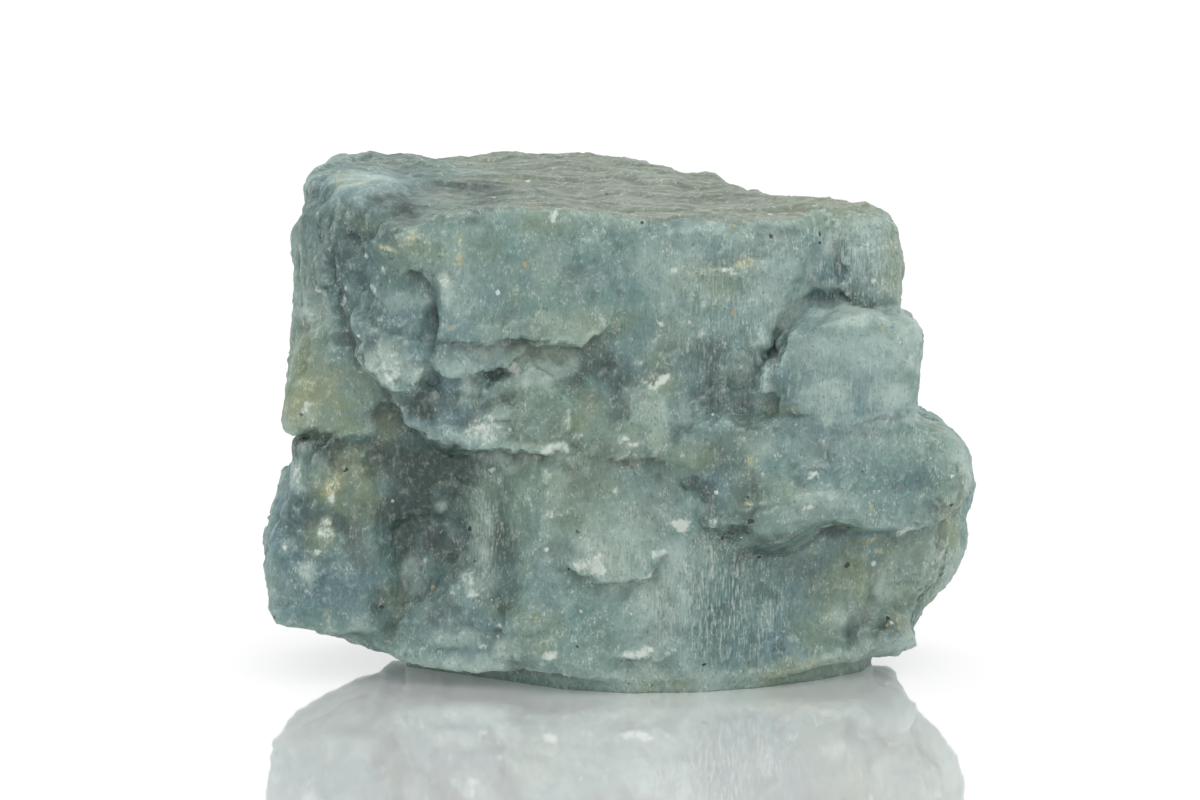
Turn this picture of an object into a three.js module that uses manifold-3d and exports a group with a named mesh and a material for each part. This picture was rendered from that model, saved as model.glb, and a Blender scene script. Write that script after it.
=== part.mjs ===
// A rough aquamarine crystal: one broken lump of massive blue-green beryl, seen with its
// ledged face to the front. Millimetres, +Z up, +X to the right and +Y away from the front.
// The stone rests on the flat broken face under its foot, at z = 0.
//
// The lump is a core of stacked slabs with the ledges, lobes and stubby crystals that grew on
// it. Each is an outline drawn from the front, from above or from the side and pushed through
// to a depth of its own, with its edges worn round. All are joined into one solid, and the
// whole of it is weathered by noise down to the flat foot.

import * as THREE from "three";
import { ImprovedNoise } from "three/addons/math/ImprovedNoise.js";
import { TessellateModifier } from "three/addons/modifiers/TessellateModifier.js";
import { mergeVertices } from "three/addons/utils/BufferGeometryUtils.js";
import Module from "manifold-3d";

// Driving dimensions: levels above the table.
const TOP = 35.2;
const UPPER_LEDGE = 24.9;
const WAIST = 17.4;
const SHELF = 19.6;
const SHELF_LIP = 10.8;
const OVERHANG = 3.2;

// Driving dimensions: how far each face stands forward (negative) or back.
const CENTRE_FACE = -11.3;
const SHELF_FACE = -12.2;
const UPPER_FACE = -8.2;
const HOLLOW_FACE = -7.0;
const BACK_FACE = 13.4;
const CUT_DEPTH = 40.0;
const TOP_LEAN = [-0.015, 0.11];

// Grain of the broken surface.
const CORE_EDGE = 3.6;
const LEDGE_EDGE = 2.7;
const MOST_SPLITS = 24;
const HANGING_SOFTNESS = 0.35;
const WEATHERING = [
  { wavelength: 12.0, height: 0.9 },
  { wavelength: 4.4, height: 0.42 },
];
const FOOT_FADE = 3.0;

const wasm = await Module();
wasm.setup();

// How each view's outline lies in the stone: its two numbers run along the first two axes,
// and it is pushed along the third.
const X = new THREE.Vector3(1, 0, 0);
const Y = new THREE.Vector3(0, 1, 0);
const Z = new THREE.Vector3(0, 0, 1);
const VIEWS = {
  plan: { axes: [X, Y, Z], sign: 1 },
  side: { axes: [Y, Z, X], sign: 1 },
  front: { axes: [X, Z, Y.clone().negate()], sign: -1 },
};

// The straight edges of an outline, each with how far its face is worn round there. Edges
// that hang, and so face down, stay sharper than the rest.
function wornEdges(outline, soft) {
  const corners = outline.map(([u, v]) => new THREE.Vector3(u, v, 0));
  const turn = THREE.ShapeUtils.isClockWise(corners) ? -1 : 1;
  return corners.map((start, i) => {
    const end = corners[(i + 1) % corners.length];
    const hanging = (turn * (start.x - end.x)) / start.distanceTo(end) < -0.5;
    return { line: new THREE.Line3(start, end), soft: hanging ? soft * HANGING_SOFTNESS : soft };
  });
}

// How far a face falls away at a point: a quarter round along the nearest edges.
function fallAt(point, edges) {
  const nearest = new THREE.Vector3();
  let fall = 0;
  for (const { line, soft } of edges) {
    line.closestPointToPoint(point, true, nearest);
    const inset = 1 - Math.min(nearest.distanceTo(point) / soft, 1);
    fall = Math.max(fall, soft * (1 - Math.sqrt(1 - inset * inset)));
  }
  return fall;
}

// One block of the stone. Its outline is pushed from root, inside the stone, out to face.
// soft is the width of the worn edge, and lean tilts the face: how much further it stands out
// per mm across and per mm up.
function block({ view, outline, face, root, soft = 0, lean = [0, 0], edge = LEDGE_EDGE }) {
  const { axes, sign } = VIEWS[view];
  const [outer, inner] = [face * sign, root * sign];
  const outward = Math.sign(outer - inner);
  const shape = new THREE.Shape(outline.map(([u, v]) => new THREE.Vector2(u, v)));
  const pushed = new THREE.ExtrudeGeometry(shape, { depth: Math.abs(outer - inner), bevelEnabled: false });
  pushed.translate(0, 0, Math.min(outer, inner));
  const geometry = new TessellateModifier(edge, MOST_SPLITS).modify(pushed);
  const middle = new THREE.Box2().setFromPoints(shape.getPoints()).getCenter(new THREE.Vector2());
  const edges = wornEdges(outline, soft);
  const position = geometry.getAttribute("position");
  for (let i = 0; i < position.count; i++) {
    const [u, v, depth] = [position.getX(i), position.getY(i), position.getZ(i)];
    const tilt = lean[0] * (u - middle.x) + lean[1] * (v - middle.y);
    const fall = soft > 0 ? fallAt(new THREE.Vector3(u, v, 0), edges) : 0;
    const share = (depth - inner) / (outer - inner);
    position.setZ(i, depth + share * outward * (tilt - fall));
  }
  geometry.applyMatrix4(new THREE.Matrix4().makeBasis(...axes));
  return solidOf(geometry);
}

function solidOf(geometry) {
  const bare = new THREE.BufferGeometry().setAttribute("position", geometry.getAttribute("position"));
  if (geometry.index) bare.setIndex(geometry.index);
  const merged = mergeVertices(bare, 1e-4);
  return new wasm.Manifold(
    new wasm.Mesh({
      numProp: 3,
      vertProperties: merged.getAttribute("position").array,
      triVerts: new Uint32Array(merged.index.array),
    }),
  );
}

function geometryOf(solid) {
  const mesh = solid.getMesh();
  return new THREE.BufferGeometry()
    .setAttribute("position", new THREE.BufferAttribute(mesh.vertProperties, 3))
    .setIndex(new THREE.BufferAttribute(mesh.triVerts, 1));
}

// Splits a solid's long edges and shifts every corner by noise, except at the flat foot.
const noise = new ImprovedNoise();
function weathered(solid) {
  const fine = new TessellateModifier(CORE_EDGE, MOST_SPLITS).modify(geometryOf(solid));
  const position = fine.getAttribute("position");
  const p = new THREE.Vector3();
  const shift = new THREE.Vector3();
  for (let i = 0; i < position.count; i++) {
    p.fromBufferAttribute(position, i);
    shift.set(0, 0, 0);
    for (const { wavelength, height } of WEATHERING) {
      const [x, y, z] = p.clone().divideScalar(wavelength).toArray();
      shift.x += height * noise.noise(x + 17.3, y, z);
      shift.y += height * noise.noise(x, y + 41.9, z);
      shift.z += height * noise.noise(x, y, z + 73.1);
    }
    p.addScaledVector(shift, THREE.MathUtils.smoothstep(p.z, 0, FOOT_FADE));
    position.setXYZ(i, p.x, p.y, p.z);
  }
  return solidOf(fine);
}

// The core: the upper slab, the lower body and the foot, cut to the stone's front outline.
const upperSlab = block({
  view: "plan", face: TOP, root: WAIST - 3, soft: 1.4, lean: TOP_LEAN, edge: CORE_EDGE,
  outline: [
    [-22.8, -3.0], [-21.0, -6.6], [-13.0, UPPER_FACE], [0.0, -9.6], [12.0, -8.6], [19.0, -7.6],
    [19.4, -5.0], [17.0, -2.8], [13.4, 0.2], [10.0, 3.2], [6.0, 6.6], [3.0, 11.0], [-1.0, 13.0],
    [-9.0, BACK_FACE], [-17.0, 12.8], [-20.6, 10.2], [-22.8, 4.5],
  ],
});
const lowerBody = block({
  view: "plan", face: WAIST + 1.2, root: OVERHANG - 1, soft: 1.6, edge: CORE_EDGE,
  outline: [
    [-25.6, -1.6], [-24.6, -4.6], [-21.6, -6.2], [-16.6, HOLLOW_FACE], [-11.6, HOLLOW_FACE], [-9.8, -8.6],
    [0.0, -10.2], [6.0, -10.4], [13.0, -8.0], [20.0, -4.4], [24.8, -0.8], [26.0, 2.2],
    [23.0, 6.8], [14.0, 10.4], [2.0, BACK_FACE], [-10.0, 12.8], [-19.0, 10.6], [-25.0, 5.8],
  ],
});
const foot = block({
  view: "plan", face: 7.0, root: 0.0, edge: CORE_EDGE,
  outline: [
    [-15.8, -1.6], [-8.6, -6.4], [-4.0, -9.6], [0.6, -10.9], [6.0, -10.6], [10.0, -9.0],
    [14.0, -6.6], [17.6, -3.4], [18.6, 0.4], [18.4, 4.8], [8.0, 10.6], [-6.0, 10.8], [-15.0, 6.0],
  ],
});
const frontOutline = block({
  view: "front", face: -CUT_DEPTH, root: CUT_DEPTH, edge: CUT_DEPTH,
  outline: [
    [-20.4, 38.2], [-22.0, 35.8], [-22.7, 33.4], [-23.0, 29.5], [-22.4, 25.0], [-22.2, 17.6], [-23.8, 15.4],
    [-24.4, 12.0], [-25.0, 10.6], [-25.0, 6.4], [-24.4, 4.8], [-22.0, 3.9], [-18.4, 2.9],
    [-16.2, 0.6], [-15.8, -1.0], [18.0, -1.0], [18.8, 0.5], [20.4, 2.0], [22.2, 4.6],
    [24.0, 6.8], [25.2, 9.0], [26.0, 12.6], [25.6, 15.0], [24.4, 16.6], [21.4, 18.0],
    [19.4, 22.0], [19.5, 29.6], [19.2, 32.4], [18.0, 34.2], [14.0, 38.0], [0.0, 40.0],
  ],
});
const core = upperSlab.add(lowerBody).add(foot).intersect(frontOutline);

// The ledges, lobes and crystals on the front, the sides and the back.
const ledges = [
  // The bold block high on the face, with its nose and its scalloped lower edge.
  block({
    view: "front", face: CENTRE_FACE, root: 0, soft: 0.9, lean: [-0.02, -0.07],
    outline: [
      [-17.6, 32.2], [-16.4, 30.8], [-14.6, 30.6], [-13.2, 29.6], [-12.9, 27.4], [-12.8, 25.4],
      [-11.4, UPPER_LEDGE], [-9.4, 25.4], [-7.2, 25.0], [-5.4, 24.6], [-3.0, 24.8], [-1.6, 25.9],
      [-0.2, 26.8], [0.6, 28.8], [2.4, 31.0], [3.0, 33.8], [-6.0, 34.2], [-13.0, 34.2], [-16.4, 33.6],
    ],
  }),
  block({
    view: "front", face: -11.9, root: -6.0, soft: 0.6, lean: [0.0, -0.08],
    outline: [
      [-7.0, 26.2], [-5.6, 24.5], [-3.2, 24.5], [-1.8, 25.6], [-0.4, 26.4], [0.2, 28.4], [-0.8, 30.4],
      [-4.0, 30.2], [-6.2, 29.0],
    ],
  }),
  // The smooth slope to its right, which ends in a slanting ridge.
  block({
    view: "front", face: -10.6, root: 0, soft: 1.6, lean: [0.01, 0.03],
    outline: [
      [-5.0, 33.9], [-5.0, 26.0], [-2.0, 21.0], [3.0, 19.4], [8.2, 19.4], [8.8, 22.2], [10.4, 24.6],
      [11.4, 27.2], [12.6, 29.4], [13.2, 32.0], [12.6, 33.8],
    ],
  }),
  // The lobes below the dark recess on the left.
  block({
    view: "front", face: -10.4, root: 0, soft: 1.8, lean: [0.02, -0.12],
    outline: [
      [-18.9, 26.6], [-18.6, 24.2], [-17.6, 22.5], [-15.9, 21.2], [-14.4, 21.5], [-13.2, 22.8], [-12.6, 25.6],
      [-12.6, 29.0], [-14.2, 31.2], [-16.6, 30.8], [-18.4, 29.0],
    ],
  }),
  block({
    view: "front", face: -10.9, root: 0, soft: 1.0, lean: [0.0, -0.08],
    outline: [
      [-13.6, 26.4], [-13.4, 23.4], [-12.4, 22.3], [-10.9, 22.3], [-9.4, 23.0], [-8.0, 23.1], [-6.2, 24.4],
      [-5.0, 26.4],
    ],
  }),
  // The tongue that hangs over the dark hollow at the waist, and the rough ground beside it.
  block({
    view: "front", face: -10.5, root: 0, soft: 1.2, lean: [0.0, -0.22],
    outline: [
      [-15.8, 20.8], [-15.2, 19.2], [-13.8, 18.3], [-12.2, 17.6], [-10.0, 17.8], [-8.0, 17.4], [-5.6, WAIST],
      [-3.6, 17.9], [-2.6, 20.0], [-4.4, 22.2], [-7.0, 23.6], [-10.0, 22.6], [-13.0, 22.2],
    ],
  }),
  block({
    view: "front", face: -9.9, root: 0, soft: 1.2, lean: [0.05, -0.12],
    outline: [
      [-6.8, 24.8], [-5.8, 19.4], [-4.6, 16.8], [-1.6, 16.4], [1.6, 16.8], [5.6, 16.8], [12.6, 18.0],
      [12.4, 22.4], [8.2, 22.8], [2.0, 23.6], [-3.0, 25.6],
    ],
  }),
  block({
    view: "front", face: -11.4, root: 0, soft: 1.0, lean: [0.0, -0.05],
    outline: [[0.6, 20.2], [1.0, 18.2], [2.8, 17.6], [4.0, 18.8], [3.9, 21.2], [2.9, 22.9], [1.3, 22.4]],
  }),
  // The nodule on the left edge.
  block({
    view: "front", face: -7.8, root: 5, soft: 2.2, lean: [0.06, 0.0],
    outline: [
      [-23.8, 19.6], [-23.7, 22.0], [-22.9, 24.4], [-21.0, 25.6], [-18.0, 25.4], [-15.8, 23.4], [-15.2, 20.4],
      [-16.0, 18.0], [-18.6, 17.0], [-22.4, 17.0],
    ],
  }),
  // The column at the upper right corner.
  block({
    view: "front", face: -8.8, root: -2.0, soft: 1.5, lean: [0.04, 0.0],
    outline: [
      [14.2, 26.0], [14.0, 30.0], [14.4, 33.2], [17.2, 33.4], [18.8, 32.5], [19.4, 30.0], [19.2, 26.0],
    ],
  }),
  // The stubby crystal that stands on the shelf, and the flake on its side.
  block({
    view: "front", face: -11.7, root: -1.0, soft: 0.8, lean: [-0.03, -0.05],
    outline: [
      [10.9, 24.4], [11.6, 26.2], [12.6, 27.1], [15.2, 27.5], [18.0, 27.0], [20.5, 26.5], [21.1, 25.5],
      [20.8, 23.2], [20.3, 20.8], [20.2, 19.0], [11.6, 19.0], [11.4, 22.0],
    ],
  }),
  block({
    view: "front", face: -11.3, root: -4.0, soft: 0.6,
    outline: [[9.4, 22.4], [9.6, 21.4], [10.6, 21.0], [12.0, 21.6], [11.8, 23.8], [10.1, 23.8]],
  }),
  // The shelf at the lower right, with its wavy lip, and the step below it.
  block({
    view: "front", face: SHELF_FACE, root: 3.0, soft: 1.1, lean: [-0.09, -0.18],
    outline: [
      [3.6, 16.8], [4.4, 18.6], [7.0, SHELF], [14.0, 19.9], [20.6, 19.3], [22.8, 18.4], [24.2, 16.8],
      [24.2, 15.0], [23.0, 12.8], [20.8, 11.2], [17.8, SHELF_LIP], [15.9, 11.6], [14.4, 12.1], [13.2, 11.2],
      [11.8, 10.3], [10.2, 10.6], [8.2, 11.6], [6.2, 12.2], [5.0, 12.8], [4.6, 14.6],
    ],
  }),
  block({
    view: "front", face: -8.4, root: 4.0, soft: 0.8, lean: [-0.4, 0.02],
    outline: [
      [4.0, 1.0], [4.0, 14.0], [21.0, 14.0], [23.4, 11.6], [22.4, 7.4], [20.6, 3.8], [17.6, 1.6], [10.0, 0.9],
    ],
  }),
  // The lower face, the ridges beside it and the pale flake that stands on it.
  block({
    view: "front", face: -11.1, root: 0, soft: 1.3, lean: [0.0, -0.06],
    outline: [
      [-7.0, 1.6], [-8.2, 4.4], [-7.6, 8.0], [-7.8, 13.0], [-7.0, 18.0], [6.4, 18.0], [7.4, 11.0],
      [6.8, 5.0], [6.0, 1.4], [0.6, 0.7],
    ],
  }),
  block({
    view: "front", face: -9.2, root: 0, soft: 1.5, lean: [0.0, -0.06],
    outline: [
      [-10.8, 6.0], [-11.2, 10.0], [-10.6, 14.0], [-10.6, 18.0], [-7.6, 18.0], [-8.2, 12.0], [-7.4, 6.0],
    ],
  }),
  block({
    view: "front", face: -11.7, root: -4.0, soft: 0.8, lean: [0.0, -0.1],
    outline: [
      [-4.3, 9.9], [-2.8, 9.2], [-1.6, 8.2], [0.3, 8.5], [1.9, 8.3], [2.9, 9.6], [3.7, 10.4], [3.4, 12.6],
      [1.6, 13.4], [0.4, 14.8], [-2.6, 14.6], [-3.6, 12.6],
    ],
  }),
  // The block at the lower left corner, and the swelling over the foot beside it.
  block({
    view: "front", face: -8.4, root: 4.0, soft: 1.3, lean: [0.05, -0.06],
    outline: [
      [-24.9, 6.0], [-24.9, 11.0], [-24.2, 13.4], [-23.2, 16.0], [-21.4, 17.6], [-18.4, 17.2], [-16.6, 15.2],
      [-16.9, 10.0], [-15.8, 6.6], [-16.4, 3.9], [-21.0, 3.9], [-24.2, 4.9],
    ],
  }),
  block({
    view: "front", face: -9.0, root: 0, soft: 1.2, lean: [0.14, -0.12],
    outline: [
      [-15.4, 1.6], [-18.4, 3.4], [-17.4, 5.6], [-14.8, 7.4], [-12.8, 9.4], [-10.4, 9.0], [-7.4, 9.0],
      [-6.4, 3.4], [-7.0, 1.2],
    ],
  }),
  // The layered top, and the left side.
  block({
    view: "plan", face: TOP + 0.7, root: TOP - 4, soft: 0.6, lean: TOP_LEAN, edge: CORE_EDGE,
    outline: [
      [-19.6, 1.0], [-13.0, -1.6], [-6.0, -0.6], [1.0, -1.4], [6.6, 0.6], [4.0, 5.0], [1.6, 8.6],
      [-2.0, 11.8], [-12.0, 12.4], [-19.0, 9.4],
    ],
  }),
  block({
    view: "plan", face: TOP + 1.3, root: TOP - 4, soft: 1.0, lean: TOP_LEAN, edge: CORE_EDGE,
    outline: [[-20.6, -0.6], [-14.4, -1.4], [-11.0, 1.6], [-11.8, 8.0], [-15.0, 11.4], [-19.6, 8.8]],
  }),
  block({
    view: "side", face: -23.8, root: -12.0, soft: 1.6, lean: [0.0, -0.04], edge: CORE_EDGE,
    outline: [[-2.0, 20.0], [-3.0, 27.0], [-1.0, 33.0], [5.0, 33.6], [7.4, 28.0], [6.0, 21.0], [2.0, 19.0]],
  }),
  block({
    view: "side", face: -25.2, root: -12.0, soft: 1.4, lean: [-0.04, 0.0], edge: CORE_EDGE,
    outline: [[-3.6, 5.0], [-4.0, 12.0], [0.0, 15.6], [4.4, 14.4], [6.0, 9.0], [3.0, 4.2]],
  }),
  // The right side, under the diagonal break.
  block({
    view: "side", face: 16.2, root: 0.0, soft: 1.6, lean: [-0.8, -0.2], edge: CORE_EDGE,
    outline: [[-5.0, 15.0], [-5.0, 19.6], [-1.0, 22.6], [5.0, 21.6], [7.0, 17.0], [5.0, 13.0]],
  }),
  // The broken back.
  block({
    view: "front", face: 14.6, root: 2.0, soft: 1.8, lean: [0.02, 0.03], edge: CORE_EDGE,
    outline: [
      [-19.4, 20.4], [-18.4, 29.0], [-15.0, 33.8], [-6.0, 34.0], [-2.6, 29.6], [-4.4, 24.0], [-9.0, 21.6],
      [-13.0, 22.4],
    ],
  }),
  block({
    view: "front", face: 12.0, root: 0.0, soft: 1.6, lean: [-0.3, -0.1], edge: CORE_EDGE,
    outline: [[-3.0, 18.0], [-3.4, 27.0], [1.0, 31.0], [7.4, 28.4], [12.0, 22.0], [11.0, 16.4], [4.0, 15.4]],
  }),
  block({
    view: "front", face: 14.8, root: 2.0, soft: 2.0, lean: [0.03, -0.06], edge: CORE_EDGE,
    outline: [
      [-14.0, 3.0], [-16.4, 8.0], [-13.6, 14.4], [-6.0, 16.0], [0.0, 14.0], [6.0, 15.0], [9.4, 10.6],
      [8.0, 4.4], [2.0, 2.2], [-6.0, 1.8],
    ],
  }),
];

let joined = core;
for (const ledge of ledges) joined = joined.add(ledge);
const stone = weathered(joined);

// The origin is under the middle of the stone, on the table.
const geometry = geometryOf(stone);
geometry.computeBoundingBox();
const centre = geometry.boundingBox.getCenter(new THREE.Vector3());
geometry.translate(-centre.x, -centre.y, 0);
geometry.computeVertexNormals();

const aquamarine = new THREE.MeshStandardMaterial({ color: 0x78918f, roughness: 0.5, metalness: 0.0 });
const crystal = new THREE.Mesh(geometry, aquamarine);
crystal.name = "aquamarine_crystal";

const group = new THREE.Group();
group.add(crystal);

export default group;
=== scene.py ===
"""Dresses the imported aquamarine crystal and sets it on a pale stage.

The stone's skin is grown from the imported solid: an even fine mesh, worn smooth, then broken up
by lumps, chips, standing striae, thin ledges, cracks and the flat layers of the top. Its clouds,
stains, crusts and grains are painted by shader nodes from where they lie on the stone.
"""

import math

import bpy
import numpy as np
from bpy.props import FloatProperty, FloatVectorProperty, IntProperty, PointerProperty
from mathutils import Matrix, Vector, noise
from mathutils.bvhtree import BVHTree


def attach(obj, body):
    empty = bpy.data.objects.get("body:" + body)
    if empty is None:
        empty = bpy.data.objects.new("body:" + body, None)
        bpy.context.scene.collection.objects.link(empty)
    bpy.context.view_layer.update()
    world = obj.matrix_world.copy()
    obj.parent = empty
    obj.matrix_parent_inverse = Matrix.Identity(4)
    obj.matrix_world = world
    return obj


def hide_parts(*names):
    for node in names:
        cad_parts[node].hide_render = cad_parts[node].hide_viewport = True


bl_info = {
    "name": "Aquamarine crystal",
    "version": (1, 0, 0),
    "blender": (4, 5, 0),
    "location": "View3D > Sidebar > Aquamarine",
    "description": "Grows the skin of a rough aquamarine crystal on its packed solid",
    "category": "Add Mesh",
}

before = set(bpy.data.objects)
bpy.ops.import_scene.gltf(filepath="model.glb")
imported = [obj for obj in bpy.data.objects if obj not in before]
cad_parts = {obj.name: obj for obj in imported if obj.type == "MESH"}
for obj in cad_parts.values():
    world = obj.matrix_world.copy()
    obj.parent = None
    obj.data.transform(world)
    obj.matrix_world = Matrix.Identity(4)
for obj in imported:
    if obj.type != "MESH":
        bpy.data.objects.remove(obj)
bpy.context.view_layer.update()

NODE = "aquamarine_crystal"
BODY = "root"
PIECE = "rough_aquamarine"
MM = 0.001

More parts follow.
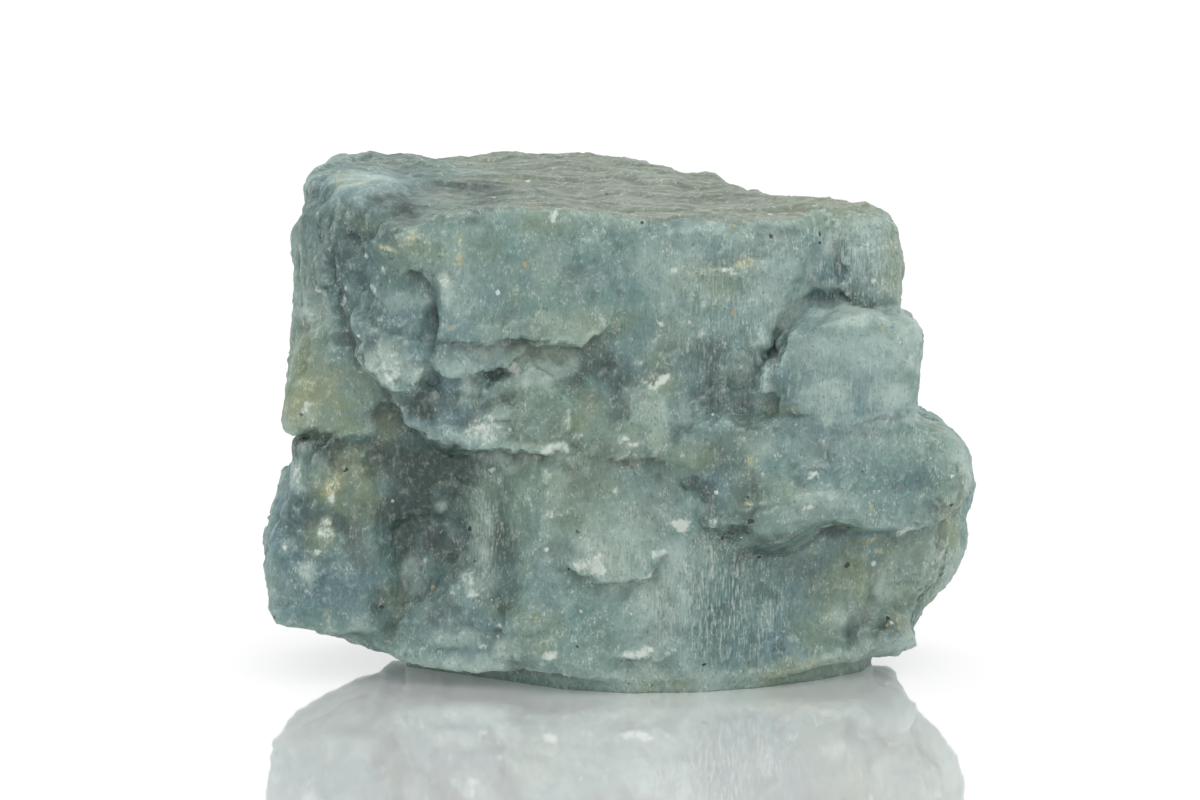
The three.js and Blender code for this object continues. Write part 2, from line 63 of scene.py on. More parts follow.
# Patches on the ledged front, in millimetres as seen from the front: across, up, half width,
# half height, and then how strong each one is from 0 to 1.
PATCHES = {
    "worn": [
        (-14.2, 12.8, 4.6, 5.6, 1.0), (-8.6, 11.5, 2.4, 6.0, 0.9), (-18.0, 10.0, 2.6, 6.0, 0.8),
        (4.8, 15.6, 2.8, 3.6, 0.9), (2.0, 20.2, 2.4, 3.0, 0.6), (4.0, 19.0, 6.0, 2.2, 0.7),
        (-20.0, 21.0, 4.0, 4.0, 0.5), (-12.4, 8.0, 4.6, 2.4, 0.8), (6.5, 6.0, 2.4, 6.0, 0.8),
        (1.2, 29.5, 2.6, 4.0, 0.8), (-3.0, 28.0, 3.4, 2.6, 0.5), (-17.0, 29.6, 3.0, 3.2, 0.8),
        (12.8, 28.6, 2.2, 4.4, 0.9), (-18.0, 34.8, 5.0, 2.6, 0.35), (-0.4, 13.2, 4.6, 2.2, 1.0),
        (8.4, 11.2, 4.0, 1.6, 0.9), (12.6, 11.0, 3.4, 2.4, 1.0), (17.6, 11.2, 3.8, 2.2, 1.0),
        (16.0, 22.6, 3.4, 2.6, 0.6), (3.0, 11.0, 1.8, 3.0, 0.9), (-4.0, 12.0, 1.2, 2.0, 0.7),
        (9.0, 26.0, 1.4, 1.8, 1.0), (10.8, 28.6, 1.4, 2.0, 1.0), (12.2, 31.0, 1.2, 2.0, 1.0),
    ],
    "calm": [
        (15.6, 23.6, 5.2, 4.2, 0.9), (-20.4, 21.0, 3.0, 2.6, 0.5), (-8.0, 29.0, 4.0, 3.0, 0.4),
        (2.0, 28.0, 3.0, 4.0, 0.5), (-0.6, 11.6, 3.0, 2.4, 0.5),
    ],
    "rugged": [
        (-20.0, 29.0, 3.5, 6.0, 1.0), (-16.0, 24.0, 3.0, 3.0, 0.6), (-10.0, 20.0, 5.0, 3.0, 0.8),
        (-14.0, 10.0, 6.0, 6.0, 0.7), (-22.0, 10.0, 3.0, 6.0, 0.6), (6.0, 21.0, 3.0, 2.0, 0.7),
        (-9.0, 5.0, 5.0, 3.0, 0.6), (12.0, 16.0, 8.0, 3.0, 0.4), (-20.0, 16.6, 3.6, 2.4, 0.6),
        (-15.0, 32.0, 3.0, 2.0, 0.6), (20.0, 8.0, 3.0, 5.0, 0.5), (18.4, 31.0, 1.6, 3.4, 0.6),
        (-19.0, 35.0, 4.4, 2.6, 0.9), (-22.4, 31.0, 1.6, 5.0, 0.6),
    ],
    # Painted shade in recesses and cavities, under ledges and lobes and on down-facing places, together with
    # darker tone of the stone.
    "shade": [
        (-4.8, 18.6, 1.2, 1.6, 0.6), (-15.6, 34.0, 2.0, 0.8, 0.9), (-11.0, 35.2, 3.4, 0.7, 0.9),
        (-19.8, 25.0, 1.0, 1.4, 0.4), (-18.0, 25.0, 0.8, 1.0, 0.5), (-3.6, 16.4, 1.8, 0.8, 0.7),
        (-17.6, 16.4, 3.0, 1.0, 0.8), (9.0, 19.0, 4.0, 0.7, 0.4), (-0.8, 22.4, 0.9, 1.8, 0.5),
        (-14.6, 12.6, 3.8, 5.4, 1.0), (-13.6, 16.4, 4.4, 1.6, 1.0), (-21.8, 17.0, 2.4, 1.4, 1.0),
        (-19.4, 12.0, 1.6, 3.6, 0.7), (-22.6, 12.0, 2.0, 3.0, 0.6), (-12.8, 9.4, 2.4, 2.6, 0.8),
        (-12.6, 14.8, 2.6, 2.2, 0.9), (-9.2, 9.4, 1.6, 3.6, 0.6), (-14.2, 6.8, 2.4, 1.8, 0.6),
        (-17.0, 5.4, 1.8, 2.6, 0.7), (-21.8, 30.6, 1.4, 4.4, 0.6), (-22.6, 33.6, 1.0, 2.0, 0.6),
        (-13.6, 20.6, 2.2, 1.3, 1.0), (-9.6, 20.6, 2.0, 0.8, 0.6), (-2.6, 17.4, 2.4, 0.9, 0.7),
        (-3.2, 29.4, 1.4, 1.2, 0.4), (-6.6, 26.0, 1.2, 0.8, 0.4), (8.4, 14.4, 1.2, 2.6, 0.5),
        (6.6, 17.4, 2.0, 1.6, 0.5), (5.6, 23.6, 2.0, 2.2, 0.6), (14.2, 27.5, 2.0, 0.5, 0.6),
        (-19.6, 31.2, 1.6, 2.4, 0.7), (-13.4, 27.6, 0.7, 2.6, 0.8), (-9.0, 24.6, 2.6, 0.5, 0.8),
        (-6.6, 24.9, 1.4, 0.7, 0.8), (-9.0, 22.4, 0.9, 0.8, 0.7), (-1.5, 23.4, 1.0, 1.6, 0.8),
        (-3.4, 24.4, 1.0, 0.5, 0.6), (-17.0, 19.4, 1.4, 1.8, 0.8), (-17.2, 17.4, 2.4, 0.8, 0.8),
        (-8.6, 14.0, 0.6, 1.6, 0.5), (13.0, 29.2, 0.8, 1.6, 0.5), (13.2, 27.9, 1.6, 0.6, 0.8),
        (11.4, 26.8, 0.9, 0.9, 0.4), (15.2, 28.2, 1.6, 0.8, 0.6), (15.0, 30.4, 0.4, 1.2, 0.5),
        (8.6, 21.4, 0.8, 1.6, 0.7), (6.4, 21.4, 2.2, 1.6, 0.7), (8.8, 20.2, 1.4, 0.5, 0.6),
        (11.0, 20.3, 1.6, 0.5, 0.7), (4.0, 19.0, 0.6, 0.5, 0.6), (1.0, 16.8, 2.2, 0.5, 0.8),
        (2.0, 15.6, 0.9, 0.5, 0.6), (4.6, 15.3, 0.7, 0.7, 0.8), (5.6, 14.6, 0.9, 1.0, 0.7),
        (6.2, 13.2, 1.4, 0.9, 0.6), (7.4, 11.7, 1.8, 0.5, 0.9), (9.6, 10.3, 1.6, 0.9, 0.6),
        (11.4, 10.1, 1.6, 0.5, 0.6), (14.6, 11.6, 2.0, 0.7, 0.7), (8.6, 9.4, 1.0, 1.4, 0.5),
        (12.4, 8.6, 2.4, 1.6, 0.4), (12.6, 6.4, 1.6, 1.0, 0.3), (16.4, 4.6, 0.6, 1.8, 0.6),
        (17.6, 7.0, 0.5, 1.4, 0.6), (10.7, 2.6, 0.4, 0.8, 0.6), (21.4, 12.4, 0.9, 1.2, 0.4),
        (20.8, 15.2, 1.2, 1.0, 0.4), (18.6, 15.6, 1.4, 0.6, 0.3), (-12.0, 33.8, 2.6, 0.5, 0.5),
        (-18.0, 33.4, 2.6, 0.6, 0.5), (-17.0, 33.0, 1.4, 1.4, 0.5), (-10.0, 34.8, 2.2, 0.7, 0.7),
        (-23.0, 31.0, 1.0, 3.0, 0.4), (-22.4, 22.4, 1.0, 2.4, 0.4), (-13.4, 5.6, 2.0, 1.2, 0.5),
        (-8.4, 6.0, 1.2, 0.8, 0.6), (-2.8, 15.6, 2.2, 1.6, 0.45), (1.0, 12.6, 2.2, 0.8, 0.5),
        (-3.4, 12.6, 1.0, 0.6, 0.5), (10.6, 32.6, 1.6, 0.7, 0.5), (12.6, 24.4, 1.4, 1.4, 0.4),
        (11.0, 21.6, 1.6, 1.2, 0.35), (13.4, 17.6, 1.2, 1.2, 0.5), (-6.4, 18.2, 1.6, 0.5, 0.5),
        (-0.4, 20.6, 0.8, 1.8, 0.4), (-2.8, 28.6, 1.2, 1.0, 0.4), (22.0, 13.4, 1.0, 0.7, 0.6),
        (11.0, 11.2, 2.6, 0.6, 0.6), (16.0, 9.0, 0.8, 1.8, 0.4), (18.0, 4.0, 1.2, 0.9, 0.8),
        (-13.4, 25.0, 0.5, 1.6, 0.5), (-11.0, 19.4, 1.2, 0.8, 0.6), (-13.0, 35.2, 2.2, 0.6, 0.7),
        (8.4, 24.0, 0.5, 1.0, 0.5), (-13.0, 4.6, 4.0, 1.4, 0.3), (-17.0, 15.6, 3.4, 0.8, 0.7),
        (-2.8, 23.4, 1.6, 1.2, 0.7), (-19.0, 10.0, 6.0, 6.0, 0.22), (-18.0, 29.0, 5.0, 6.0, 0.22),
        (6.2, 11.0, 0.7, 2.4, 0.4), (12.6, 10.8, 1.4, 0.9, 0.6), (14.0, 13.4, 2.0, 0.9, 0.4),
        (3.0, 24.0, 1.0, 2.4, 0.3), (14.0, 7.4, 2.0, 2.0, 0.3), (-0.2, 22.6, 0.7, 1.6, 0.6),
        (16.6, 10.2, 1.2, 0.6, 0.4), (2.4, 13.8, 1.2, 1.8, 0.35), (-18.4, 9.0, 1.0, 2.0, 0.5),
        (-20.6, 16.2, 1.4, 0.9, 1.0), (-18.6, 37.0, 3.0, 1.0, 0.7), (-23.2, 16.8, 1.2, 0.9, 1.0),
    ],
    "blue": [
        (-23.8, 11.5, 1.8, 4.5, 1.0), (-20.0, 7.6, 3.6, 1.8, 0.9), (-23.0, 6.0, 2.4, 2.0, 0.7),
        (-19.0, 5.6, 3.0, 1.2, 0.7), (-14.6, 11.8, 2.4, 1.6, 0.7), (-16.4, 27.6, 2.6, 2.4, 0.8),
        (-14.6, 24.4, 0.8, 1.2, 0.7), (-13.0, 19.8, 2.6, 1.0, 1.0), (-11.6, 4.4, 3.0, 1.6, 0.7),
        (-7.1, 29.4, 0.6, 0.6, 0.6), (10.4, 4.4, 0.8, 1.6, 0.7), (19.4, 15.6, 2.8, 1.2, 0.6),
        (6.6, 13.2, 1.2, 0.8, 0.4), (10.6, 29.4, 1.8, 2.0, 0.4), (-18.0, 35.0, 4.4, 1.6, 1.0),
        (-19.4, 30.0, 3.0, 3.4, 0.8), (-9.4, 29.4, 3.0, 2.4, 0.4), (-10.4, 25.8, 2.0, 2.6, 0.6),
        (-13.0, 22.2, 2.6, 1.4, 0.7), (13.4, 29.0, 3.4, 3.0, 1.0), (11.6, 26.6, 2.4, 2.0, 0.9),
        (15.4, 24.0, 4.0, 2.4, 0.8), (17.4, 20.8, 4.0, 2.4, 1.0), (11.4, 20.8, 3.2, 2.0, 0.7),
        (6.0, 15.0, 1.8, 2.0, 0.7), (-9.0, 8.4, 1.6, 1.6, 0.7), (4.4, 5.6, 2.0, 2.2, 0.5),
        (10.0, 9.4, 2.0, 1.4, 0.4), (12.6, 6.6, 1.6, 1.6, 0.4), (14.6, 18.2, 3.6, 1.4, 0.6),
        (-13.4, 26.6, 1.6, 2.6, 0.7), (-9.8, 23.0, 1.8, 1.6, 0.6), (-18.0, 26.0, 2.0, 1.4, 0.6),
        (-14.6, 11.0, 3.0, 1.8, 0.9), (6.0, 21.0, 2.4, 2.0, 0.5), (-12.0, 2.2, 2.4, 0.9, 0.7),
        (10.4, 2.2, 1.6, 0.9, 0.6), (18.0, 24.4, 2.4, 1.6, 0.6), (14.0, 21.6, 5.6, 3.0, 0.6),
        (13.4, 25.6, 3.0, 2.4, 0.7), (16.4, 29.6, 2.0, 2.4, 0.6), (-21.6, 31.6, 1.6, 2.4, 0.6),
        (-9.6, 27.6, 2.4, 2.0, 0.6),
    ],
    # Paler tone of the stone, and painted light on thin rims, lobe ends and undercut places near the foot and
    # under ledges.
    "pale": [
        (2.2, 6.4, 3.0, 3.2, 0.75), (14.0, 21.4, 2.2, 1.4, 0.8), (17.6, 25.2, 1.6, 1.6, 0.7),
        (12.4, 30.4, 1.2, 1.6, 0.7), (17.0, 31.4, 2.4, 3.2, 0.6), (5.0, 28.4, 2.6, 1.2, 0.5),
        (11.2, 14.6, 1.4, 1.6, 0.5), (-9.6, 25.8, 1.6, 1.0, 0.3), (1.2, 34.4, 2.6, 0.8, 0.5),
        (20.4, 20.2, 1.6, 0.8, 0.7), (-5.6, 23.6, 2.4, 1.4, 0.9), (3.6, 30.6, 3.4, 2.0, 0.6),
        (10.8, 27.6, 1.6, 2.6, 0.8), (15.0, 32.0, 1.6, 1.2, 0.7), (18.4, 21.4, 2.0, 1.6, 0.8),
        (17.5, 19.4, 2.4, 0.8, 0.6), (0.4, 7.9, 2.2, 0.9, 0.9), (3.2, 9.4, 1.2, 2.2, 0.7),
        (1.2, 20.4, 1.2, 1.8, 0.9), (4.2, 20.4, 0.9, 1.2, 0.6), (-8.4, 16.6, 2.0, 0.7, 0.9),
        (-5.2, 14.2, 1.0, 1.8, 0.6), (19.8, 11.2, 1.0, 0.8, 0.6), (16.4, 6.0, 1.6, 2.0, 0.4),
        (-12.0, 1.2, 4.4, 1.2, 1.0), (15.0, 1.4, 3.0, 1.2, 0.9), (-18.2, 35.0, 2.6, 0.9, 0.5),
        (-16.6, 23.4, 2.0, 1.6, 0.9), (-14.8, 22.4, 1.6, 0.7, 0.9), (-11.8, 23.2, 1.6, 0.7, 0.8),
        (-12.4, 28.9, 0.6, 1.3, 0.9), (-6.0, 26.4, 2.6, 0.9, 0.4), (-3.6, 26.0, 1.8, 0.8, 0.5),
        (-1.2, 26.5, 0.5, 0.4, 0.8), (-10.2, 10.8, 0.7, 2.8, 0.7), (-10.6, 8.0, 1.6, 1.4, 0.5),
        (-13.0, 13.1, 0.6, 0.6, 0.8), (-9.8, 18.7, 1.8, 1.0, 0.4), (-4.9, 17.5, 1.4, 0.5, 0.9),
        (-22.7, 8.2, 0.7, 0.8, 0.9), (-23.4, 14.8, 0.7, 0.8, 0.9), (-4.0, 19.4, 0.4, 0.6, 0.3),
        (-4.8, 15.3, 0.7, 0.9, 0.7), (-5.2, 12.9, 0.6, 0.6, 0.7), (-0.6, 11.2, 3.6, 2.6, 0.6),
        (2.4, 13.6, 2.0, 2.0, 0.3), (2.0, 19.6, 1.4, 2.2, 0.9), (1.6, 17.8, 1.6, 0.5, 0.7),
        (2.0, 22.3, 1.2, 0.6, 0.9), (0.9, 23.4, 0.6, 0.3, 0.9), (4.4, 32.6, 3.6, 1.2, 0.3),
        (10.4, 28.6, 2.0, 2.2, 0.7), (9.4, 30.2, 1.6, 0.7, 0.6), (6.4, 29.9, 1.6, 0.4, 0.5),
        (16.6, 33.0, 2.2, 1.2, 0.7), (18.0, 30.8, 1.4, 2.6, 0.6), (16.0, 26.6, 3.6, 0.8, 1.0),
        (19.6, 25.0, 1.2, 2.2, 0.9), (14.6, 24.6, 3.4, 2.0, 0.6), (17.4, 23.6, 2.4, 1.6, 0.5),
        (14.6, 20.0, 1.6, 0.8, 0.6), (9.8, 22.4, 0.7, 1.1, 1.0), (21.4, 19.6, 1.6, 0.5, 0.8),
        (23.7, 15.5, 0.6, 1.6, 0.9), (23.2, 11.6, 1.0, 2.4, 0.6), (21.0, 7.0, 1.6, 2.2, 0.4),
        (19.0, 3.0, 1.6, 0.9, 0.5), (14.0, 14.2, 2.4, 1.2, 0.6), (16.6, 18.0, 4.0, 1.0, 0.3),
        (9.6, 18.0, 1.2, 0.8, 0.4), (12.0, 13.0, 1.6, 0.6, 0.4), (5.6, 9.4, 1.2, 2.0, 0.6),
        (8.6, 8.0, 0.6, 2.0, 0.4), (-12.0, 3.8, 2.4, 1.0, 0.6), (-8.6, 3.2, 1.2, 1.2, 0.8),
        (0.0, 1.0, 12.0, 0.7, 0.5), (13.2, 1.6, 2.0, 0.8, 0.7), (9.8, 5.2, 0.8, 0.8, 0.4),
        (-22.5, 26.4, 1.2, 1.6, 0.6), (-16.0, 28.0, 2.4, 0.8, 0.5), (-11.0, 21.8, 0.9, 1.2, 0.9),
        (-8.6, 19.6, 1.0, 0.8, 0.7), (-5.2, 31.0, 1.6, 1.6, 0.4), (8.0, 23.4, 1.0, 1.2, 0.8),
        (10.0, 25.6, 1.0, 0.9, 0.6), (18.4, 28.6, 1.2, 1.0, 0.7), (17.0, 18.4, 2.0, 0.9, 0.5),
        (3.4, 19.2, 0.8, 1.2, 0.5), (-5.0, 11.6, 0.9, 1.8, 0.5), (-15.4, 8.0, 0.9, 1.4, 0.7),
        (-18.8, 4.4, 1.0, 0.8, 0.7), (15.4, 5.2, 1.0, 1.0, 0.6), (-6.4, 22.4, 1.8, 0.8, 1.0),
        (-1.6, 10.0, 2.6, 1.6, 0.9), (11.4, 28.8, 1.4, 1.0, 0.9), (14.8, 31.6, 0.9, 1.4, 0.9),
        (20.0, 8.0, 1.4, 2.0, 0.6), (16.6, 5.2, 1.2, 0.8, 0.7), (-7.4, 16.4, 1.2, 0.6, 1.0),
        (-2.6, 10.8, 1.6, 0.8, 1.0), (0.0, 8.6, 0.8, 1.4, 1.0), (9.6, 24.6, 0.9, 0.9, 0.6),
        (14.6, 28.6, 1.0, 0.5, 0.7), (10.4, 24.4, 0.7, 0.8, 0.6), (20.6, 19.8, 1.4, 0.6, 1.0),
        (9.8, 21.4, 0.8, 0.8, 0.8), (15.2, 4.8, 1.2, 0.8, 0.9), (19.4, 7.0, 1.2, 1.0, 0.7),
        (21.6, 9.4, 0.8, 1.2, 0.8), (-9.8, 24.4, 1.4, 0.6, 0.8), (-14.4, 22.8, 1.2, 0.5, 1.0),
        (12.6, 33.8, 3.0, 0.8, 0.6), (23.0, 9.0, 1.4, 4.0, 0.7), (19.0, 6.8, 1.8, 1.6, 1.0),
        (-18.6, 35.0, 2.4, 0.7, 0.9),
    ],
    "olive": [
        (-20.6, 21.2, 3.0, 2.0, 1.0), (-19.4, 16.6, 1.6, 1.0, 0.5), (-19.4, 14.0, 1.4, 2.0, 0.9),
        (-21.6, 24.6, 0.9, 1.6, 0.5), (-6.4, 26.6, 0.6, 0.5, 0.6), (-14.6, 31.6, 2.0, 1.0, 0.7),
        (-7.4, 24.0, 1.2, 0.5, 0.5), (-2.6, 24.6, 1.6, 0.4, 0.5), (0.6, 18.6, 2.2, 1.2, 0.5),
        (4.6, 17.0, 2.2, 1.0, 0.5), (0.8, 16.8, 2.2, 0.4, 0.5), (10.6, 20.4, 1.6, 0.4, 0.6),
        (17.2, 10.6, 1.4, 0.5, 0.8), (13.6, 4.6, 2.0, 2.4, 0.5), (19.4, 8.4, 1.6, 2.4, 0.5),
        (14.0, 7.0, 1.6, 1.0, 0.4), (18.8, 31.4, 0.8, 2.6, 0.6), (-16.6, 6.4, 0.7, 2.4, 0.4),
        (-18.0, 14.0, 1.0, 2.4, 0.6), (-17.0, 18.4, 1.2, 1.4, 0.6), (3.6, 25.4, 2.0, 1.2, 0.3),
        (-22.8, 22.4, 1.8, 3.6, 1.0), (-20.0, 18.8, 2.2, 1.2, 0.8), (-21.0, 14.6, 1.8, 1.4, 0.9),
        (-22.0, 10.8, 1.0, 1.0, 0.5), (-4.0, 15.6, 4.0, 5.4, 0.5), (-1.6, 10.0, 3.0, 1.8, 0.25),
        (2.2, 22.6, 1.8, 2.2, 0.7), (-3.0, 26.2, 3.6, 1.6, 0.6), (6.0, 29.2, 2.8, 1.6, 0.6),
        (-6.0, 33.6, 2.2, 1.0, 0.6), (14.4, 34.0, 4.0, 1.0, 0.7), (16.0, 7.6, 2.2, 2.8, 0.8),
        (20.6, 7.0, 2.0, 3.8, 0.6), (23.2, 11.6, 1.2, 4.0, 1.0), (-6.2, 5.0, 1.8, 2.0, 0.5),
        (-3.0, 19.6, 1.8, 2.0, 0.8), (12.0, 1.0, 4.0, 1.0, 0.8), (19.0, 29.4, 1.0, 1.6, 0.6),
        (-22.4, 20.8, 2.4, 2.6, 1.0), (19.2, 4.8, 1.2, 1.2, 0.8), (-5.4, 24.4, 2.0, 1.2, 0.6),
        (1.6, 18.4, 1.6, 3.0, 0.5), (11.0, 15.0, 2.0, 1.4, 0.5), (3.0, 0.8, 2.4, 0.8, 0.6),
    ],
    "ochre": [
        (-16.9, 31.5, 0.7, 0.6, 1.0), (-14.7, 32.6, 0.6, 0.5, 0.7), (-11.7, 31.0, 0.4, 0.5, 0.7),
        (-15.8, 32.5, 0.3, 0.3, 0.6), (-20.8, 14.5, 0.7, 1.2, 0.9), (-21.1, 11.0, 0.5, 1.3, 0.8),
        (-12.5, 29.5, 0.4, 0.4, 0.6), (-22.8, 21.4, 0.7, 0.8, 0.6), (8.4, 30.6, 0.9, 0.3, 0.8),
        (8.6, 17.2, 0.5, 0.7, 0.6), (8.5, 14.0, 0.5, 0.2, 1.0), (15.6, 12.1, 0.5, 0.2, 1.0),
        (17.6, 10.7, 0.6, 0.2, 0.8), (18.5, 7.9, 0.2, 0.6, 0.8), (13.2, 1.6, 0.9, 0.5, 0.6),
        (16.8, 7.2, 0.4, 0.6, 0.5), (18.8, 4.4, 0.3, 0.4, 0.8), (-5.4, 3.0, 0.9, 0.4, 0.6),
        (-3.9, 32.8, 0.5, 0.3, 0.7), (0.2, 17.7, 0.4, 0.3, 0.7), (-21.4, 5.2, 0.4, 0.5, 0.5),
        (-13.8, 7.0, 0.4, 0.2, 1.0), (-22.4, 20.6, 1.6, 1.6, 0.42), (-20.6, 14.4, 1.0, 1.6, 0.6),
        (-11.7, 32.4, 0.4, 0.3, 0.6), (-12.2, 29.3, 0.4, 0.5, 0.7), (-18.6, 32.8, 0.3, 0.3, 0.6),
        (-20.6, 35.6, 0.6, 0.6, 0.35), (13.6, 9.9, 0.4, 0.15, 0.7), (14.4, 8.0, 0.5, 0.12, 0.6),
        (15.2, 7.2, 0.3, 0.2, 0.6), (18.0, 9.4, 0.5, 0.15, 0.7), (19.6, 9.0, 0.2, 0.5, 0.6),
        (-21.4, 22.0, 2.0, 1.8, 0.35), (-19.4, 16.0, 1.6, 1.2, 0.4), (-20.6, 14.4, 1.6, 1.4, 0.4),
        (-20.4, 35.2, 0.9, 0.7, 0.55), (-11.8, 35.7, 0.5, 0.4, 0.7), (-19.0, 34.6, 0.5, 0.3, 0.5),
    ],
    "crust": [
        (-9.8, 18.9, 1.6, 1.1, 0.6), (-11.0, 18.2, 0.8, 0.5, 0.5), (-4.9, 17.5, 1.0, 0.45, 1.0),
        (-16.6, 23.0, 1.4, 1.2, 0.5), (1.6, 22.0, 0.8, 0.25, 1.0), (2.5, 22.5, 0.5, 0.4, 1.0),
        (1.0, 23.4, 0.5, 0.25, 0.9), (-3.2, 9.4, 0.8, 0.5, 0.7), (-2.0, 9.3, 0.9, 0.7, 0.8),
        (-0.8, 8.7, 0.8, 0.4, 0.6), (2.3, 10.0, 0.4, 0.5, 0.8), (1.4, 8.7, 0.4, 0.4, 0.7),
        (0.6, 2.9, 1.2, 0.4, 1.0), (1.4, 3.2, 0.7, 0.4, 0.9), (3.2, 2.9, 0.7, 0.2, 0.7),
        (-5.3, 3.0, 0.9, 0.5, 0.9), (-11.2, 7.8, 0.9, 0.8, 0.6), (-10.8, 6.9, 0.6, 0.4, 0.7),
        (-12.2, 7.2, 0.5, 0.3, 0.5), (-23.4, 15.3, 0.6, 0.8, 0.6), (-20.6, 13.5, 0.4, 0.4, 0.9),
        (-21.2, 11.2, 0.6, 1.0, 0.6), (-21.8, 9.7, 0.4, 0.4, 0.6), (-12.4, 29.4, 0.5, 0.5, 0.8),
        (2.7, 31.3, 0.15, 0.35, 1.0), (19.9, 11.5, 0.5, 0.5, 1.0), (19.8, 10.9, 0.3, 0.3, 0.8),
        (3.9, 12.2, 0.4, 0.5, 1.0), (12.9, 13.4, 0.5, 0.3, 0.8), (12.8, 16.1, 0.5, 0.2, 0.9),
        (9.5, 16.0, 0.2, 0.3, 0.9), (5.6, 27.9, 0.4, 1.0, 0.6), (5.5, 25.9, 0.2, 0.3, 0.9),
        (7.3, 30.1, 0.8, 0.25, 0.8), (3.2, 30.1, 0.5, 0.3, 0.7), (-5.2, 33.7, 0.4, 0.4, 0.8),
        (-22.5, 20.2, 0.3, 0.5, 0.8), (22.1, 9.1, 0.4, 0.4, 0.8), (-0.5, 14.7, 0.3, 0.3, 0.9),
        (-0.2, 18.3, 0.5, 0.4, 0.8), (0.6, 17.8, 0.5, 0.2, 0.8), (-4.1, 19.6, 0.3, 0.4, 0.7),
        (-3.4, 18.4, 0.6, 0.3, 0.6), (6.2, 12.8, 0.4, 0.2, 0.6), (-5.2, 12.9, 0.4, 0.4, 0.7),
        (-10.4, 3.0, 0.5, 0.2, 0.8), (-14.8, 2.9, 0.6, 0.3, 0.5), (-14.2, 8.6, 0.3, 0.3, 0.8),
        (-8.2, 23.0, 0.8, 0.4, 0.9), (-7.6, 22.8, 0.5, 0.5, 0.7), (-18.2, 30.6, 0.2, 0.4, 0.9),
        (-16.9, 30.2, 0.3, 0.3, 0.7), (-18.4, 28.9, 0.2, 0.4, 0.7), (-19.8, 28.1, 0.4, 0.3, 0.7),
        (-19.9, 27.1, 0.4, 0.4, 0.7), (-21.9, 27.8, 0.2, 0.5, 0.6), (-17.9, 27.8, 0.2, 0.6, 0.5),
        (-20.6, 32.1, 0.2, 0.2, 0.8), (-21.8, 33.7, 0.2, 0.3, 0.7), (-17.6, 35.6, 0.9, 0.5, 0.35),
        (-21.4, 35.8, 0.4, 0.4, 0.5),
    ],
    "fibre": [
        (6.6, 7.0, 2.6, 5.0, 1.0), (15.6, 22.0, 4.6, 2.4, 0.25), (16.4, 30.4, 3.0, 3.4, 0.65),
        (3.0, 6.4, 1.6, 2.4, 0.5), (9.6, 5.0, 2.0, 4.0, 0.6), (7.0, 27.0, 5.0, 6.0, 0.3),
        (-9.8, 12.0, 1.4, 5.0, 0.5), (-0.6, 10.0, 3.0, 2.0, 0.3),
    ],
}

# Swells and dents of the front: across, up, half width, half height and rise, in millimetres.
SWELLS = [
    (-18.0, 34.4, 4.0, 2.6, 0.8), (-16.4, 28.8, 3.8, 3.2, -0.6), (-1.0, 12.0, 6.5, 8.0, 0.5),
    (13.0, 15.4, 9.0, 3.6, 0.6), (15.8, 23.4, 5.0, 3.8, 0.5), (-12.0, 5.0, 4.4, 2.6, 0.4),
    (-22.6, 10.0, 2.6, 5.0, 0.5), (-22.6, 17.0, 2.6, 2.2, 0.8), (-23.6, 20.4, 1.6, 3.0, 0.6),
    (-22.8, 19.2, 1.6, 1.4, 1.2), (9.6, 24.9, 1.3, 1.3, 0.9), (14.2, 27.7, 2.2, 1.0, -0.9),
    (18.4, 3.4, 2.6, 2.6, 1.8), (-6.0, 22.8, 2.6, 1.6, 0.8),
]

# Corners of the outline that stand out from front to back: the same five values.
CORNERS = [
    (-21.0, 36.2, 4.4, 3.0, 1.1), (22.2, 8.0, 3.4, 5.4, 0.9), (23.4, 14.0, 2.0, 3.0, 0.5),
    (18.6, 3.4, 2.6, 2.2, 0.5), (-25.0, 9.4, 2.6, 5.0, 0.6), (-23.6, 18.0, 1.8, 1.6, 0.9),
    (-16.0, 37.6, 3.6, 2.0, 0.5), (9.6, 36.0, 4.0, 1.6, 0.8), (-2.0, 38.0, 6.0, 2.0, 0.4),
]

